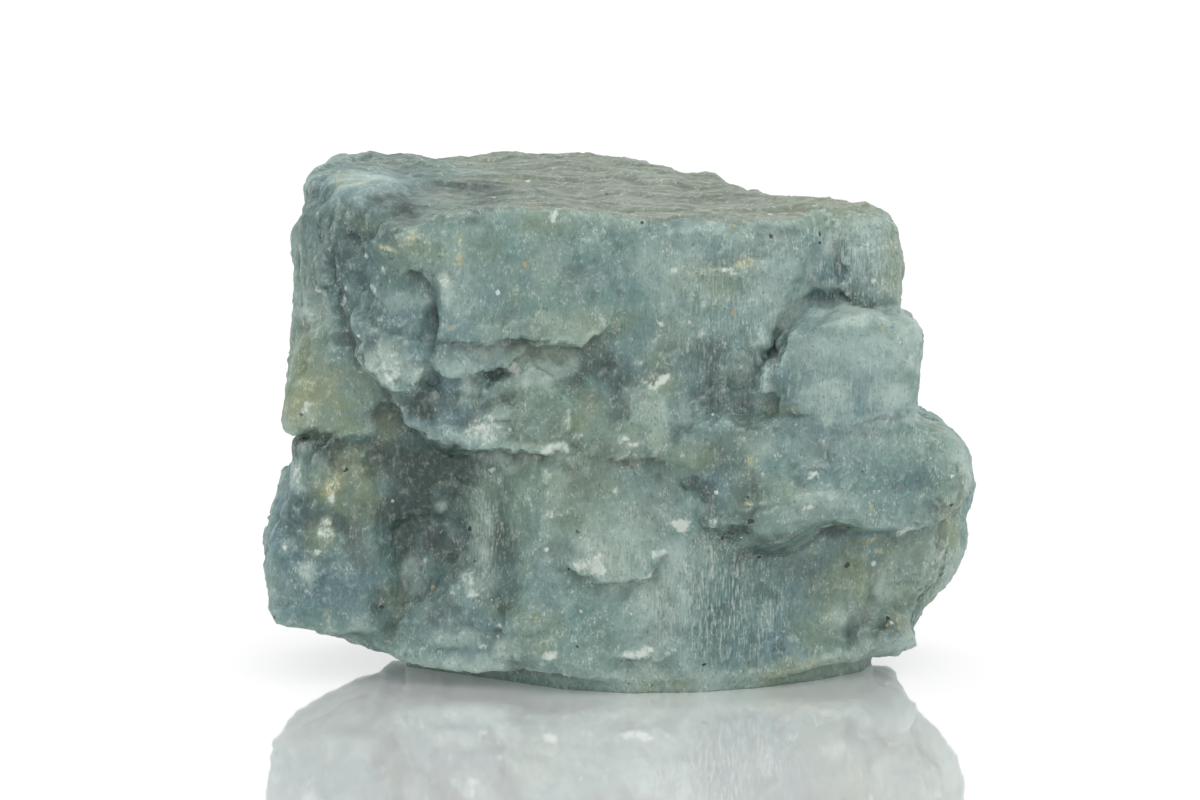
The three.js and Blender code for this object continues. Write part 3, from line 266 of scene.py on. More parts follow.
# Ledges of the front: the step, then the points that its edge runs through, in millimetres. The
# stone on the left of the way along the edge stands out over the stone on the right.
LEDGES = [
    (0.5, [(-18.2, 32.0), (-17.5, 31.2), (-16.4, 30.4), (-15.0, 30.1), (-13.4, 29.9), (-12.9, 29.0),
           (-13.0, 28.0), (-12.9, 27.0), (-13.1, 26.0), (-13.3, 25.0)]),
    (0.6, [(-13.6, 25.0), (-11.9, 25.0), (-10.4, 24.9), (-8.6, 24.9), (-7.6, 25.2), (-7.3, 25.6),
           (-6.6, 25.4), (-5.6, 25.0), (-4.0, 24.9), (-3.0, 25.0), (-2.4, 25.5), (-1.0, 26.6),
           (-0.6, 27.0), (-0.2, 27.8), (-0.1, 28.8), (-0.1, 30.0), (-0.4, 31.2)]),
    (0.4, [(-13.9, 24.6), (-13.6, 23.6), (-13.2, 22.9), (-12.6, 22.5), (-11.6, 22.4), (-10.6, 22.6),
           (-10.0, 23.1), (-8.6, 23.2), (-7.9, 23.0), (-7.2, 23.8)]),
    (0.5, [(-18.6, 25.6), (-18.9, 24.4), (-18.6, 23.2), (-17.9, 22.4), (-17.0, 21.7), (-16.0, 21.3),
           (-15.4, 21.3), (-14.4, 21.9), (-13.6, 22.1), (-12.6, 22.3)]),
    (0.4, [(-24.6, 18.6), (-23.0, 18.1), (-21.4, 18.3), (-20.4, 18.0), (-18.8, 18.0), (-17.6, 18.3),
           (-16.6, 19.2)]),
    (0.5, [(-16.0, 21.0), (-15.9, 19.9), (-15.4, 19.0), (-14.4, 18.3), (-13.2, 17.8), (-12.0, 17.5),
           (-10.4, 17.4), (-8.8, 17.5), (-7.4, 17.2), (-6.0, 17.2), (-5.0, 17.1), (-4.0, 17.4),
           (-2.6, 17.2), (-1.0, 17.1), (0.4, 17.0), (1.8, 16.9), (3.4, 16.6), (5.4, 16.4)]),
    (0.3, [(-10.6, 11.0), (-12.4, 10.8), (-13.4, 10.2), (-13.9, 9.2), (-13.9, 7.6)]),
    (0.3, [(-13.2, 7.8), (-12.6, 7.0), (-12.0, 6.2), (-10.6, 6.0), (-9.2, 5.9), (-8.0, 6.4)]),
    (0.2, [(-14.8, 3.0), (-12.0, 2.9), (-10.6, 2.6), (-9.2, 2.3), (-8.2, 2.1), (-6.4, 2.1),
           (-5.4, 1.8), (-4.4, 1.4), (-3.2, 1.0), (-1.6, 0.8)]),
    (0.35, [(-4.2, 11.0), (-4.5, 9.8), (-3.9, 9.0), (-2.4, 8.5), (-1.4, 8.2), (-0.3, 8.3),
            (0.8, 8.4), (1.6, 8.7), (2.3, 9.5), (2.8, 10.5)]),
    (0.3, [(3.8, 17.2), (3.4, 18.6), (3.3, 19.6), (3.4, 20.6), (4.0, 22.0)]),
    (0.4, [(3.4, 23.4), (2.0, 22.2), (1.0, 21.8), (0.5, 20.8), (0.3, 19.0)]),
    (0.3, [(13.4, 33.0), (13.9, 31.0), (13.9, 29.6), (13.8, 28.0)]),
    (0.5, [(20.6, 27.0), (18.6, 27.4), (16.0, 27.4), (15.0, 27.5), (14.2, 27.3), (13.6, 27.0),
           (12.2, 26.9), (11.4, 25.8), (10.8, 24.6), (10.6, 23.4), (10.8, 22.0), (11.0, 20.6)]),
    (0.7, [(10.8, 24.2), (9.8, 23.8), (9.3, 23.5), (9.0, 22.4), (9.3, 21.6), (9.9, 21.3), (10.8, 21.6)]),
    (0.3, [(10.2, 20.3), (11.2, 20.1), (12.4, 20.0), (13.6, 19.8), (14.2, 19.4), (15.2, 19.4),
           (16.4, 19.6), (18.0, 19.8), (20.4, 20.4)]),
    (0.4, [(14.4, 19.8), (12.6, 19.7), (11.4, 19.7), (10.0, 19.5), (9.0, 19.3), (8.0, 19.5),
           (6.6, 19.9), (5.4, 19.7), (4.6, 19.3), (3.9, 18.7), (3.4, 17.6)]),
    (0.25, [(4.6, 12.4), (6.2, 12.0), (7.2, 11.8), (8.4, 11.5), (9.6, 11.0), (10.6, 10.6), (11.6, 10.3),
           (12.4, 10.4), (13.0, 11.0), (13.6, 11.8), (14.4, 12.3), (15.6, 12.3), (16.6, 12.2),
           (17.8, 12.0), (18.4, 11.4), (19.2, 11.0), (20.0, 10.8), (20.8, 11.4), (21.6, 12.4), (22.6, 13.6)]),
    (0.35, [(-1.6, 3.0), (0.0, 2.6), (1.4, 2.55), (2.6, 2.6), (4.4, 3.2)]),
    (0.25, [(10.8, 30.9), (8.4, 30.6), (6.4, 30.3), (4.0, 30.0), (2.0, 30.2)]),
    (0.25, [(3.0, 30.4), (2.8, 31.4), (2.2, 32.6), (0.8, 33.4), (-0.6, 33.8)]),
    (0.3, [(-22.0, 27.0), (-22.6, 24.8), (-22.4, 23.0), (-22.8, 21.6)]),
    (0.3, [(-22.3, 18.2), (-22.0, 16.0), (-22.0, 14.0), (-22.4, 12.4), (-22.6, 10.4)]),
    (0.4, [(-22.0, 33.4), (-20.4, 33.8), (-19.0, 34.0), (-17.4, 34.1), (-16.2, 34.4), (-14.6, 35.2)]),
]
# How sharp each ledge's edge is, how far its step reaches and fades in from its ends, and how far the painted
# highlight on its lip and the painted shadow below it reach, in millimetres.
LEDGE_EDGE = 0.12
LEDGE_REACH = 1.1
LEDGE_END = 1.2
HIGHLIGHT_REACH = 0.35
SHADOW_REACH = 0.8

# Cracks of the front: depth, then the points that they run through, in millimetres.
CRACKS = [
    (0.35, [(-21.4, 34.0), (-20.6, 31.6), (-20.8, 29.6), (-20.2, 27.6), (-19.9, 25.4)]),
    (0.3, [(-19.4, 32.6), (-18.4, 31.0), (-18.8, 28.6), (-18.4, 26.0)]),
    (0.25, [(-18.8, 26.4), (-17.2, 26.1), (-15.8, 25.8), (-13.6, 25.5)]),
    (0.25, [(-12.2, 22.4), (-11.9, 21.6), (-11.2, 21.1), (-9.6, 21.2)]),
    (0.2, [(15.2, 32.8), (15.0, 31.2), (15.1, 29.8), (14.8, 28.4)]),
    (0.2, [(17.2, 31.0), (17.0, 29.6), (17.4, 28.2)]),
    (0.15, [(-8.8, 15.6), (-8.7, 13.9), (-9.0, 11.6), (-8.8, 9.7), (-8.3, 7.8), (-8.5, 5.9)]),
    (0.2, [(18.3, 8.8), (18.0, 6.9), (16.9, 5.0), (16.2, 3.1), (15.5, 2.1)]),
    (0.25, [(23.3, 17.2), (23.4, 15.6), (22.9, 12.6), (22.2, 9.6), (21.2, 6.4), (20.4, 4.4)]),
    (0.2, [(-23.6, 17.4), (-21.0, 17.5), (-18.6, 17.0), (-16.4, 16.8)]),
    (0.15, [(10.9, 4.8), (11.0, 3.8), (10.7, 2.8), (10.8, 1.6)]),
]
CRACK_WIDTH = 0.3

# Where the stone is most worn, its folds are settled by this share in this many passes.
SETTLED = 0.8
SETTLING = 8

# Single grains bedded in the front: across, up and radius in millimetres.
RUST_GRAINS = [
    (-17.4, 5.7, 0.22), (8.7, 12.7, 0.22), (15.8, 8.6, 0.17), (18.8, 4.7, 0.17), (14.6, 12.2, 0.15),
    (-11.1, 12.3, 0.12), (-11.1, 11.2, 0.12), (8.5, 14.4, 0.1), (-12.4, 16.8, 0.18), (-15.2, 18.3, 0.12),
    (-19.8, 15.6, 0.16), (1.1, 33.4, 0.12), (10.1, 32.5, 0.1), (13.6, 32.4, 0.1), (13.6, 31.8, 0.1),
    (15.8, 11.5, 0.12), (22.9, 13.6, 0.12), (-19.4, 32.4, 0.1), (5.5, 2.1, 0.1), (6.8, 11.2, 0.14),
    (9.4, 9.6, 0.12), (-3.4, 3.6, 0.1), (1.4, 11.8, 0.1), (-4.0, 9.0, 0.1), (-17.2, 28.9, 0.1),
]
ORANGE_GRAINS = [
    (-7.1, 30.5, 0.16), (-12.1, 26.2, 0.14), (7.5, 33.2, 0.12), (7.5, 27.1, 0.15), (8.8, 25.2, 0.12),
    (17.9, 26.1, 0.14), (-11.5, 30.8, 0.13), (18.7, 4.3, 0.14), (-13.8, 7.1, 0.16), (17.1, 13.7, 0.14),
    (-6.3, 5.6, 0.14), (15.6, 12.1, 0.14), (8.6, 16.8, 0.12), (0.8, 6.2, 0.12),
]

# Wavelengths of the skin's relief along x, y and z, in millimetres.
LUMPS = (3.6, 3.6, 3.2)
SMALL_LUMPS = (1.5, 1.5, 1.5)
CHIPS = (3.4, 3.4, 2.6)
SMALL_CHIPS = (1.4, 1.4, 1.2)
CRUMBS = (0.85, 0.85, 0.8)
BLISTERS = (0.75, 0.75, 0.75)
STRIAE = (0.75, 0.75, 9.0)
SHORT_STRIAE = (0.6, 0.6, 5.0)
LAYER_BENDS = (6.0, 4.5, 4.0)
FINE_BENDS = (4.0, 2.0, 2.0)
TOP_BORDER = (6.0, 6.0, 6.0)
LEDGE_GAPS = (3.2, 3.2, 3.2)
WANDER = (1.6, 1.6, 1.6)
JAGS = (0.7, 0.7, 0.7)

# Where the skin's masks fade in, in millimetres: how deep the front reaches, where the layered top
# starts from the left and from below, how high its left corner is, where the striae end, and how far
# the foot stays unbroken and flat.
FRONT_DEPTH = (-2.0, 3.0)
TOP_START = (-18.0, -9.0)
TOP_LEVEL = (32.0, 33.5)
CORNER_LEVEL = (34.5, 36.0)
STRIAE_END = (31.5, 34.0)
UNBROKEN_FOOT = (0.0, 1.5)
FLAT_FOOT = (0.1, 0.6)

# How far apart the top's broad and fine layers are and how high a crust is, in millimetres.
LAYER_SPACING = 3.4
FINE_SPACING = 1.3
CRUST_HEIGHT = 0.1

# Passes of averaging that find the skin's edges, crests and hollows, and how far each one stands
# out or lies in where its mask is full, in millimetres.
EDGE_PASSES = 4
CREST_PASSES = 26
HOLLOW_PASSES = 220
FULL_EDGE = 0.06
FULL_CREST = 0.2
FULL_HOLLOW = 1.4

# Clouds of the colour: wavelengths along x, y and z in millimetres, then how detailed they are.
CLOUDS = {
    "broad": ((9.0, 9.0, 7.0), 3.0),
    "greenish": ((6.0, 6.0, 8.0), 3.0),
    "milky": ((4.4, 4.4, 4.0), 4.0),
    "small": ((1.9, 1.9, 2.2), 3.0),
    "mottled": ((0.8, 0.8, 1.0), 3.0),
    "granular": ((0.36, 0.36, 0.42), 3.0),
    "flecked": ((0.13, 0.13, 0.26), 1.0),
    "streaks": ((0.15, 0.15, 1.1), 4.0),
    "layers": ((4.5, 0.6, 0.4), 5.0),
}

# Scattered specks: spacing in millimetres, share of the places that have one, and size as a share
# of the spacing.
DUST = (0.5, 0.1, 0.15)
SPECKS = {
    "crust": (1.9, 0.35, 0.11),
    "orange": (2.7, 0.15, 0.06),
    "rust": (1.8, 0.35, 0.07),
}

# The floor's side, each soft light's side and place, and where they and the camera aim, in metres.
FLOOR_SIZE = 8.0
OVERHEAD_SIZE = 3.0
OVERHEAD_PLACE = (0.2, 0.3, 2.0)
FILL_SIZE = 1.5
FILL_PLACE = (0.3, -1.6, 1.2)
LIT_POINT = (0.0, 0.0, 18.0 * MM)
CAMERA_AIM = Vector((-1.83, -12.17, 21.0)) * MM

# The width of the camera's sensor, in millimetres.
SENSOR_WIDTH = 36.0


def tint(red, green, blue):
    """A colour given as on a screen, 0 to 255, as the linear values that shaders take."""
    channels = [c / 255 for c in (red, green, blue)]
    return tuple(c / 12.92 if c <= 0.04045 else ((c + 0.055) / 1.055) ** 2.4 for c in channels)


class AquamarineStoneSettings(bpy.types.PropertyGroup):
    """Sizes and colours of the stone's skin."""

    grain_size: FloatProperty(
        name="Grain size", description="Spacing of the fine mesh",
        default=0.3 * MM, unit="LENGTH", precision=5,
    )
    wear: IntProperty(
        name="Wear", description="Passes that round the ledges off", default=4, min=0,
    )
    extra_wear: IntProperty(
        name="Extra wear", description="Passes that blend the most worn places", default=110, min=0,
    )
    lump_height: FloatProperty(
        name="Lump height", description="Height of the soft lumps",
        default=0.2 * MM, unit="LENGTH", precision=5,
    )
    chip_height: FloatProperty(
        name="Chip height", description="Step between broken chips",
        default=0.17 * MM, unit="LENGTH", precision=5,
    )
    crumb_height: FloatProperty(
        name="Crumb height", description="Step between small crumbs",
        default=0.05 * MM, unit="LENGTH", precision=5,
    )
    stria_height: FloatProperty(
        name="Stria height", description="Height of the standing striae",
        default=0.09 * MM, unit="LENGTH", precision=5,
    )
    layer_height: FloatProperty(
        name="Layer height", description="Step between layers of the top",
        default=0.32 * MM, unit="LENGTH", precision=5,
    )
    teal: FloatVectorProperty(
        name="Teal", description="Main colour of the stone",
        subtype="COLOR", default=tint(107, 137, 129),
    )
    blue: FloatVectorProperty(
        name="Blue", description="Colour of the bluer clouds",
        subtype="COLOR", default=tint(90, 125, 132),
    )
    # Pale tone of the stone and its crusts, and the colour of the painted light on bulges, crests, ledge
    # lips, thin rims and undercut places.
    pale: FloatVectorProperty(
        name="Pale", description="Colour of thin and rubbed places",
        subtype="COLOR", default=tint(162, 181, 173),
    )
    # Dark tone of the stone, and the colour of the painted shade in hollows, crevices, cracks, recesses and
    # under ledges.
    shade: FloatVectorProperty(
        name="Shade", description="Colour deep in the hollows",
        subtype="COLOR", default=tint(37, 62, 57),
    )
    olive: FloatVectorProperty(
        name="Olive", description="Colour of the broad stains",
        subtype="COLOR", default=tint(121, 136, 107),
    )
    drab: FloatVectorProperty(
        name="Drab", description="Colour of the layered top",
        subtype="COLOR", default=tint(124, 127, 109),
    )
    ochre: FloatVectorProperty(
        name="Ochre", description="Colour of the rusty crusts",
        subtype="COLOR", default=tint(176, 175, 137),
    )
    crust: FloatVectorProperty(
        name="Crust", description="Colour of the white crusts",
        subtype="COLOR", default=tint(206, 212, 203),
    )
    rust: FloatVectorProperty(
        name="Rust", description="Colour of the dark grains",
        subtype="COLOR", default=tint(26, 11, 8),
    )
    orange: FloatVectorProperty(
        name="Orange", description="Colour of the bright grains",
        subtype="COLOR", default=tint(166, 154, 112),
    )


class AquamarineStageSettings(bpy.types.PropertyGroup):
    """The floor, the lights and the camera."""

    elevation: FloatProperty(
        name="Elevation", description="How far the camera looks down",
        default=math.radians(8.0), subtype="ANGLE",
    )
    distance: FloatProperty(
        name="Distance", description="From the camera to the stone's front",
        default=280.1 * MM, unit="LENGTH",
    )
    lens: FloatProperty(name="Lens", description="Focal length in millimetres", default=120.0)
    sky: FloatProperty(name="Sky", description="Strength of the white surround", default=1.0)
    key: FloatProperty(
        name="Key light", description="Power of the soft light overhead", default=10.0, unit="POWER",
    )
    fill: FloatProperty(
        name="Fill light", description="Power of the soft light in front", default=8.0, unit="POWER",
    )


def values_of(mesh, kind):
    """A vertex property of the mesh as an array of points."""
    flat = np.empty(len(mesh.vertices) * 3)
    mesh.vertices.foreach_get(kind, flat)
    return flat.reshape(-1, 3)


def neighbours(mesh):
    """The two vertices of each edge of the mesh."""
    pairs = np.empty(len(mesh.edges) * 2, dtype=np.int64)
    mesh.edges.foreach_get("vertices", pairs)
    return pairs.reshape(-1, 2)


def smooth_step(value, low, high):
    """0 below low, 1 above high and an even curve between."""
    share = np.clip((value - low) / (high - low), 0.0, 1.0)
    return share * share * (3.0 - 2.0 * share)


def waves(points, lengths, seed):
    """Smooth noise from -1 to 1, with a wavelength in millimetres along each axis."""
    scaled = points / (np.array(lengths) * MM) + seed
    return np.array([noise.noise(p) for p in scaled.tolist()])


def facets(points, lengths, seed):
    """A height that is flat but tilted over each broken facet, and steps at its edges."""
    scaled = points / (np.array(lengths) * MM) + seed
    heights = []
    for point in scaled.tolist():
        middle = noise.voronoi(point)[1][0]
        lot = noise.cell_vector(middle)
        tilt = lot - Vector((0.5, 0.5, 0.5))
        heights.append(2.0 * tilt.dot(Vector(point) - middle) + noise.cell(middle) * 0.6)
    return np.array(heights)


def spread(values, edges, passes):
    """Values at the vertices, averaged with their neighbours over and over."""
    ends = np.concatenate([edges, edges[:, ::-1]])
    count = np.bincount(ends[:, 0], minlength=len(values))[:, None]
    for _ in range(passes):
        given = values[ends[:, 1]]
        sums = [np.bincount(ends[:, 0], weights=given[:, i], minlength=len(values)) for i in range(3)]
        values = 0.5 * values + 0.5 * np.stack(sums, axis=1) / count
    return values


def worn_mesh(settings):
    """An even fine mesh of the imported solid, with its ledges worn round."""
    rough = bpy.data.objects.new("rough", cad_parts[NODE].data.copy())
    bpy.context.collection.objects.link(rough)
    remesh = rough.modifiers.new("even grain", "REMESH")
    remesh.mode = "VOXEL"
    remesh.voxel_size = settings.grain_size
    wear = rough.modifiers.new("wear", "SMOOTH")
    wear.factor = 0.5
    wear.iterations = settings.wear
    evaluated = rough.evaluated_get(bpy.context.evaluated_depsgraph_get())
    mesh = bpy.data.meshes.new_from_object(evaluated)
    mesh.name = PIECE
    bpy.data.objects.remove(rough)
    return mesh


def front_places(points):
    """Where each vertex lies across and up the front, in millimetres, shifted a little by noise."""
    wander = [waves(points, WANDER, seed) for seed in (11.0, 23.0)]
    jags = [waves(points, JAGS, seed) for seed in (41.0, 43.0)]
    return points[:, [0, 2]] / MM + 0.5 * np.stack(wander, axis=1) + 0.3 * np.stack(jags, axis=1)


def reach_of(places, x, z, half_width, half_height):
    """How far each place is from the middle of an oval patch, with 1 at its edge."""
    return np.hypot((places[:, 0] - x) / half_width, (places[:, 1] - z) / half_height)


def patch_masks(places, facing):
    """How strongly each kind of patch lies on each vertex of the front."""
    masks = {}
    for kind, patches in PATCHES.items():
        mask = np.zeros(len(places))
        for *patch, strength in patches:
            mask = np.maximum(mask, strength * (1.0 - smooth_step(reach_of(places, *patch), 0.3, 1.4)))
        masks[kind] = mask * facing
    return masks


def swells(places, listed):
    """How far the listed swells and dents stand out at each vertex, in millimetres."""
    height = np.zeros(len(places))
    for *patch, rise in listed:
        height += rise * (1.0 - smooth_step(reach_of(places, *patch), 0.0, 1.0))
    return height


def beside(places, line):
    """How far each place is to the left of a line of points, and how far from the line's ends."""
    nearest = np.full(len(places), np.inf)
    aside = np.zeros(len(places))
    passed = np.zeros(len(places))
    done = 0.0
    for start, end in zip(np.array(line), np.array(line[1:])):
        along = end - start
        length = np.linalg.norm(along)
        offset = places - start
        share = np.clip(offset @ along / length**2, 0.0, 1.0)
        away = np.linalg.norm(offset - share[:, None] * along, axis=1)
        left = np.sign(along[0] * offset[:, 1] - along[1] * offset[:, 0])
        closer = away < nearest
        aside[closer] = (left * away)[closer]
        passed[closer] = done + (share * length)[closer]
        nearest = np.minimum(nearest, away)
        done += length
    return aside, np.minimum(passed, done - passed)


def ledges(places, points):
    """How far the ledges stand out at each vertex, in millimetres, and masks of their painted lip highlight
    and shadow.
    """
    patchy = np.clip(0.55 + 1.1 * waves(points, LEDGE_GAPS, seed=37.0), 0.1, 1.1)
    rise = np.zeros(len(places))
    lip = np.zeros(len(places))
    foot = np.zeros(len(places))
    for step, line in LEDGES:
        aside, from_end = beside(places, line)
        strength = step * patchy * smooth_step(from_end, 0.0, LEDGE_END)
        rise += 0.5 * strength * np.tanh(aside / LEDGE_EDGE) * np.exp(-np.abs(aside) / LEDGE_REACH)
        # A painted highlight on the lip above each edge and a painted shadow below it.
        lip = np.maximum(lip, strength * (aside > 0.0) * np.exp(-np.abs(aside) / HIGHLIGHT_REACH))
        foot = np.maximum(foot, strength * (aside < 0.0) * np.exp(-np.abs(aside) / SHADOW_REACH))
    return rise, lip, foot


def cracks(places):
    """How deep the front's cracks are at each vertex, in millimetres."""
    depth = np.zeros(len(places))
    for deepest, line in CRACKS:
        aside, from_end = beside(places, line)
        profile = np.exp(-((aside / CRACK_WIDTH) ** 2))
        depth = np.maximum(depth, deepest * profile * smooth_step(from_end, 0.0, LEDGE_END))
    return depth


def sides(points, normals):
    """Masks of the front, of the layered top and of the top's dark left corner."""
    across, depth, level = points.T / MM
    front = smooth_step(-normals[:, 1], -0.4, 0.0) * smooth_step(-depth, *FRONT_DEPTH)
    inward = smooth_step(across + 7.0 * waves(points, TOP_BORDER, seed=47.0), *TOP_START)
    top = smooth_step(normals[:, 2], 0.75, 0.95) * smooth_step(level, *TOP_LEVEL)
    corner = smooth_step(normals[:, 2], 0.4, 0.9) * smooth_step(level, *CORNER_LEVEL)
    return front, top * inward, corner * (1.0 - inward)


def top_layers(points):
    """How high the top's broad and fine layers stand, from -0.5 to 0.5."""
    wavy = points[:, 1] / MM + 2.6 * waves(points, LAYER_BENDS, seed=29.0) + 0.12 * points[:, 0] / MM
    broad = 1.0 - np.mod(wavy / LAYER_SPACING, 1.0)
    fine = 1.0 - np.mod(wavy / FINE_SPACING + 1.1 * waves(points, FINE_BENDS, seed=31.0), 1.0)
    return 0.6 * broad + 0.4 * fine - 0.5


def relief(points, normals, rough, fibre, top, settings):
    """How far the scattered relief stands out at each vertex, in metres."""
    lumps = waves(points, LUMPS, seed=3.0) + 0.5 * waves(points, SMALL_LUMPS, seed=5.0)
    chips = facets(points, CHIPS, seed=7.0) + 0.5 * facets(points, SMALL_CHIPS, seed=9.0)
    crumbs = facets(points, CRUMBS, seed=15.0)
    striae = waves(points, STRIAE, seed=17.0) + 0.6 * waves(points, SHORT_STRIAE, seed=19.0)
    upright = 1.0 - np.abs(normals[:, 2])
    height = settings.lump_height * lumps * rough
    height += settings.chip_height * chips * rough * (1.0 - 0.6 * top)
    height += settings.crumb_height * crumbs * rough
    height += settings.stria_height * striae * upright * fibre
    height += settings.layer_height * top * top_layers(points)
    return height


def curve_masks(skin, normals, pairs):
    """Masks of the skin's fine edges, its crests and its hollows, from -1 to 1."""
    near = spread(skin, pairs, EDGE_PASSES)
    middle = spread(near, pairs, CREST_PASSES)
    far = spread(middle, pairs, HOLLOW_PASSES)

    def outward(offset, full):
        return np.clip((offset * normals).sum(axis=1) / (full * MM), -1.0, 1.0)

    return {
        "edge": outward(skin - near, FULL_EDGE),
        "crest": outward(near - middle, FULL_CREST),
        "hollow": outward(far - skin, FULL_HOLLOW),
    }


def broken_skin(mesh, settings):
    """Breaks the worn mesh up and leaves the masks that the material reads on it."""
    points = values_of(mesh, "co")
    normals = values_of(mesh, "normal")
    pairs = neighbours(mesh)

    front, top, corner = sides(points, normals)
    places = front_places(points)
    masks = patch_masks(places, front)
    rise, lip, foot = ledges(places, points)
    depth = cracks(places)
    masks["shade"] = np.maximum(masks["shade"], 0.5 * corner)
    # The ledges' painted highlights, and their painted shadows together with painted shade in the cracks.
    masks["lip"] = lip * front
    masks["foot"] = np.maximum(foot, depth) * front
    masks["top"] = top

    worn = masks.pop("worn")[:, None]
    rough = 1.0 - masks["calm"] + masks.pop("rugged")
    points += worn * (spread(points, pairs, settings.extra_wear) - points)
    normals += worn * (spread(normals, pairs, settings.extra_wear) - normals)
    normals /= np.linalg.norm(normals, axis=1)[:, None]

    level = points[:, 2] / MM
    below_top = 1.0 - smooth_step(level, *STRIAE_END)
    masks["fibre"] += 0.1 * below_top
    height = relief(points, normals, rough, masks["fibre"] + 0.15 * below_top, top, settings)
    height += MM * front * (swells(places, SWELLS) + rise - depth)
    height += MM * swells(places, CORNERS)
    height += MM * CRUST_HEIGHT * masks["crust"] * (0.6 + waves(points, BLISTERS, seed=13.0))
    height *= smooth_step(level, *UNBROKEN_FOOT)
    skin = points + normals * height[:, None]
    skin += SETTLED * worn * (spread(skin, pairs, SETTLING) - skin)
    skin[:, 2] = np.maximum(skin[:, 2], 0.0)
    skin[:, 2] *= smooth_step(level, *FLAT_FOOT)
    mesh.vertices.foreach_set("co", skin.ravel())
    mesh.update()

    masks.update(curve_masks(skin, normals, pairs))
    for kind, mask in masks.items():
        mesh.attributes.new(kind, "FLOAT", "POINT").data.foreach_set("value", mask)
    for polygon in mesh.polygons:
        polygon.use_smooth = True


def put(tree, kind, values=None, **fields):
    """Adds a node, sets its fields and gives each named input a value or a link."""
    made = tree.nodes.new(kind)
    for name, value in fields.items():
        setattr(made, name, value)
    for name, value in (values or {}).items():
        if isinstance(value, bpy.types.NodeSocket):
            tree.links.new(value, made.inputs[name])
        else:
            made.inputs[name].default_value = value
    return made


def maths(tree, operation, first, second=0.0, clamp=False):
    """The result of one sum on two values."""
    values = {0: first, 1: second}
    return put(tree, "ShaderNodeMath", values, operation=operation, use_clamp=clamp).outputs[0]


def moved(tree, operation, first, values):
    """The result of one sum on a vector, with its other inputs by name or number."""
    return put(tree, "ShaderNodeVectorMath", {0: first, **values}, operation=operation).outputs


def mixed(tree, share, under, over):
    """One colour laid over another by a share."""
    return put(tree, "ShaderNodeMix", {0: share, 6: under, 7: over}, data_type="RGBA").outputs[2]


def ramped(tree, value, low, high):
    """A value stretched so that low becomes 0 and high becomes 1, in a smooth curve."""
    values = {"Value": value, "From Min": low, "From Max": high}
    return put(tree, "ShaderNodeMapRange", values, interpolation_type="SMOOTHSTEP").outputs[0]


def masked(tree, kind):
    """A mask left on the mesh."""
    return put(tree, "ShaderNodeAttribute", attribute_name=kind).outputs["Fac"]


def clouds(tree, lengths, detail):
    """Cloudy noise around 0.5, with a wavelength in millimetres along each axis."""
    place = put(tree, "ShaderNodeTexCoord").outputs["Object"]
    scaled = moved(tree, "MULTIPLY", place, {1: [1.0 / (length * MM) for length in lengths]})[0]
    values = {"Vector": scaled, "Scale": 1.0, "Detail": detail}
    return put(tree, "ShaderNodeTexNoise", values).outputs["Fac"]


def ragged_noise(tree, place, length):
    """Noise that makes the edges of specks and grains ragged, with its wavelength in millimetres."""
    values = {"Vector": place, "Scale": 1.0 / (length * MM), "Detail": 1.0}
    return put(tree, "ShaderNodeTexNoise", values).outputs


def speck_group():
    """A node group that scatters small ragged specks over a surface."""
    group = bpy.data.node_groups.new("specks", "ShaderNodeTree")
    for name in ("Spacing", "Share", "Size"):
        group.interface.new_socket(name, in_out="INPUT", socket_type="NodeSocketFloat")
    group.interface.new_socket("Mask", in_out="OUTPUT", socket_type="NodeSocketFloat")
    given = put(group, "NodeGroupInput").outputs
    place = put(group, "ShaderNodeTexCoord").outputs["Object"]
    ragged = ragged_noise(group, place, 0.14)["Color"]
    shift = moved(group, "SUBTRACT", ragged, {1: (0.5, 0.5, 0.5)})[0]
    shift = moved(group, "SCALE", shift, {"Scale": 0.3 * MM})[0]
    place = moved(group, "ADD", place, {1: shift})[0]
    scale = maths(group, "DIVIDE", 1.0 / MM, given["Spacing"])
    cells = put(group, "ShaderNodeTexVoronoi", {"Vector": place, "Scale": scale}).outputs
    lot = put(group, "ShaderNodeSeparateColor", {"Color": cells["Color"]}).outputs
    radius = maths(group, "MULTIPLY", given["Size"], maths(group, "ADD", lot["Green"], 0.35))
    inside = ramped(group, maths(group, "DIVIDE", cells["Distance"], radius), 1.0, 0.6)
    chosen = maths(group, "LESS_THAN", lot["Red"], given["Share"])
    put(group, "NodeGroupOutput", {"Mask": maths(group, "MULTIPLY", inside, chosen)})
    return group


def scattered(tree, group, spacing, share, size):
    """The mask of specks scattered by the group."""
    made = tree.nodes.new("ShaderNodeGroup")
    made.node_tree = group
    for name, value in (("Spacing", spacing), ("Share", share), ("Size", size)):
        made.inputs[name].default_value = value
    return made.outputs["Mask"]


def grains(tree, bvh, listed):
    """The mask of single grains, each set on the skin where a line from the front meets it."""
    place = put(tree, "ShaderNodeTexCoord").outputs["Object"]
    ragged = ragged_noise(tree, place, 0.35)["Fac"]
    warp = maths(tree, "MULTIPLY", maths(tree, "SUBTRACT", ragged, 0.5), 0.5 * MM)
    mask = 0.0
    for x, z, radius in listed:
        spot = bvh.ray_cast(Vector((x * MM, -1.0, z * MM)), Vector((0.0, 1.0, 0.0)))[0]
        if spot is None:
            raise RuntimeError(f"no stone in front at {x}, {z}")
        away = moved(tree, "DISTANCE", place, {1: spot})["Value"]
        inside = maths(tree, "LESS_THAN", maths(tree, "ADD", away, warp), radius * MM)
        mask = maths(tree, "MAXIMUM", mask, inside)
    return mask


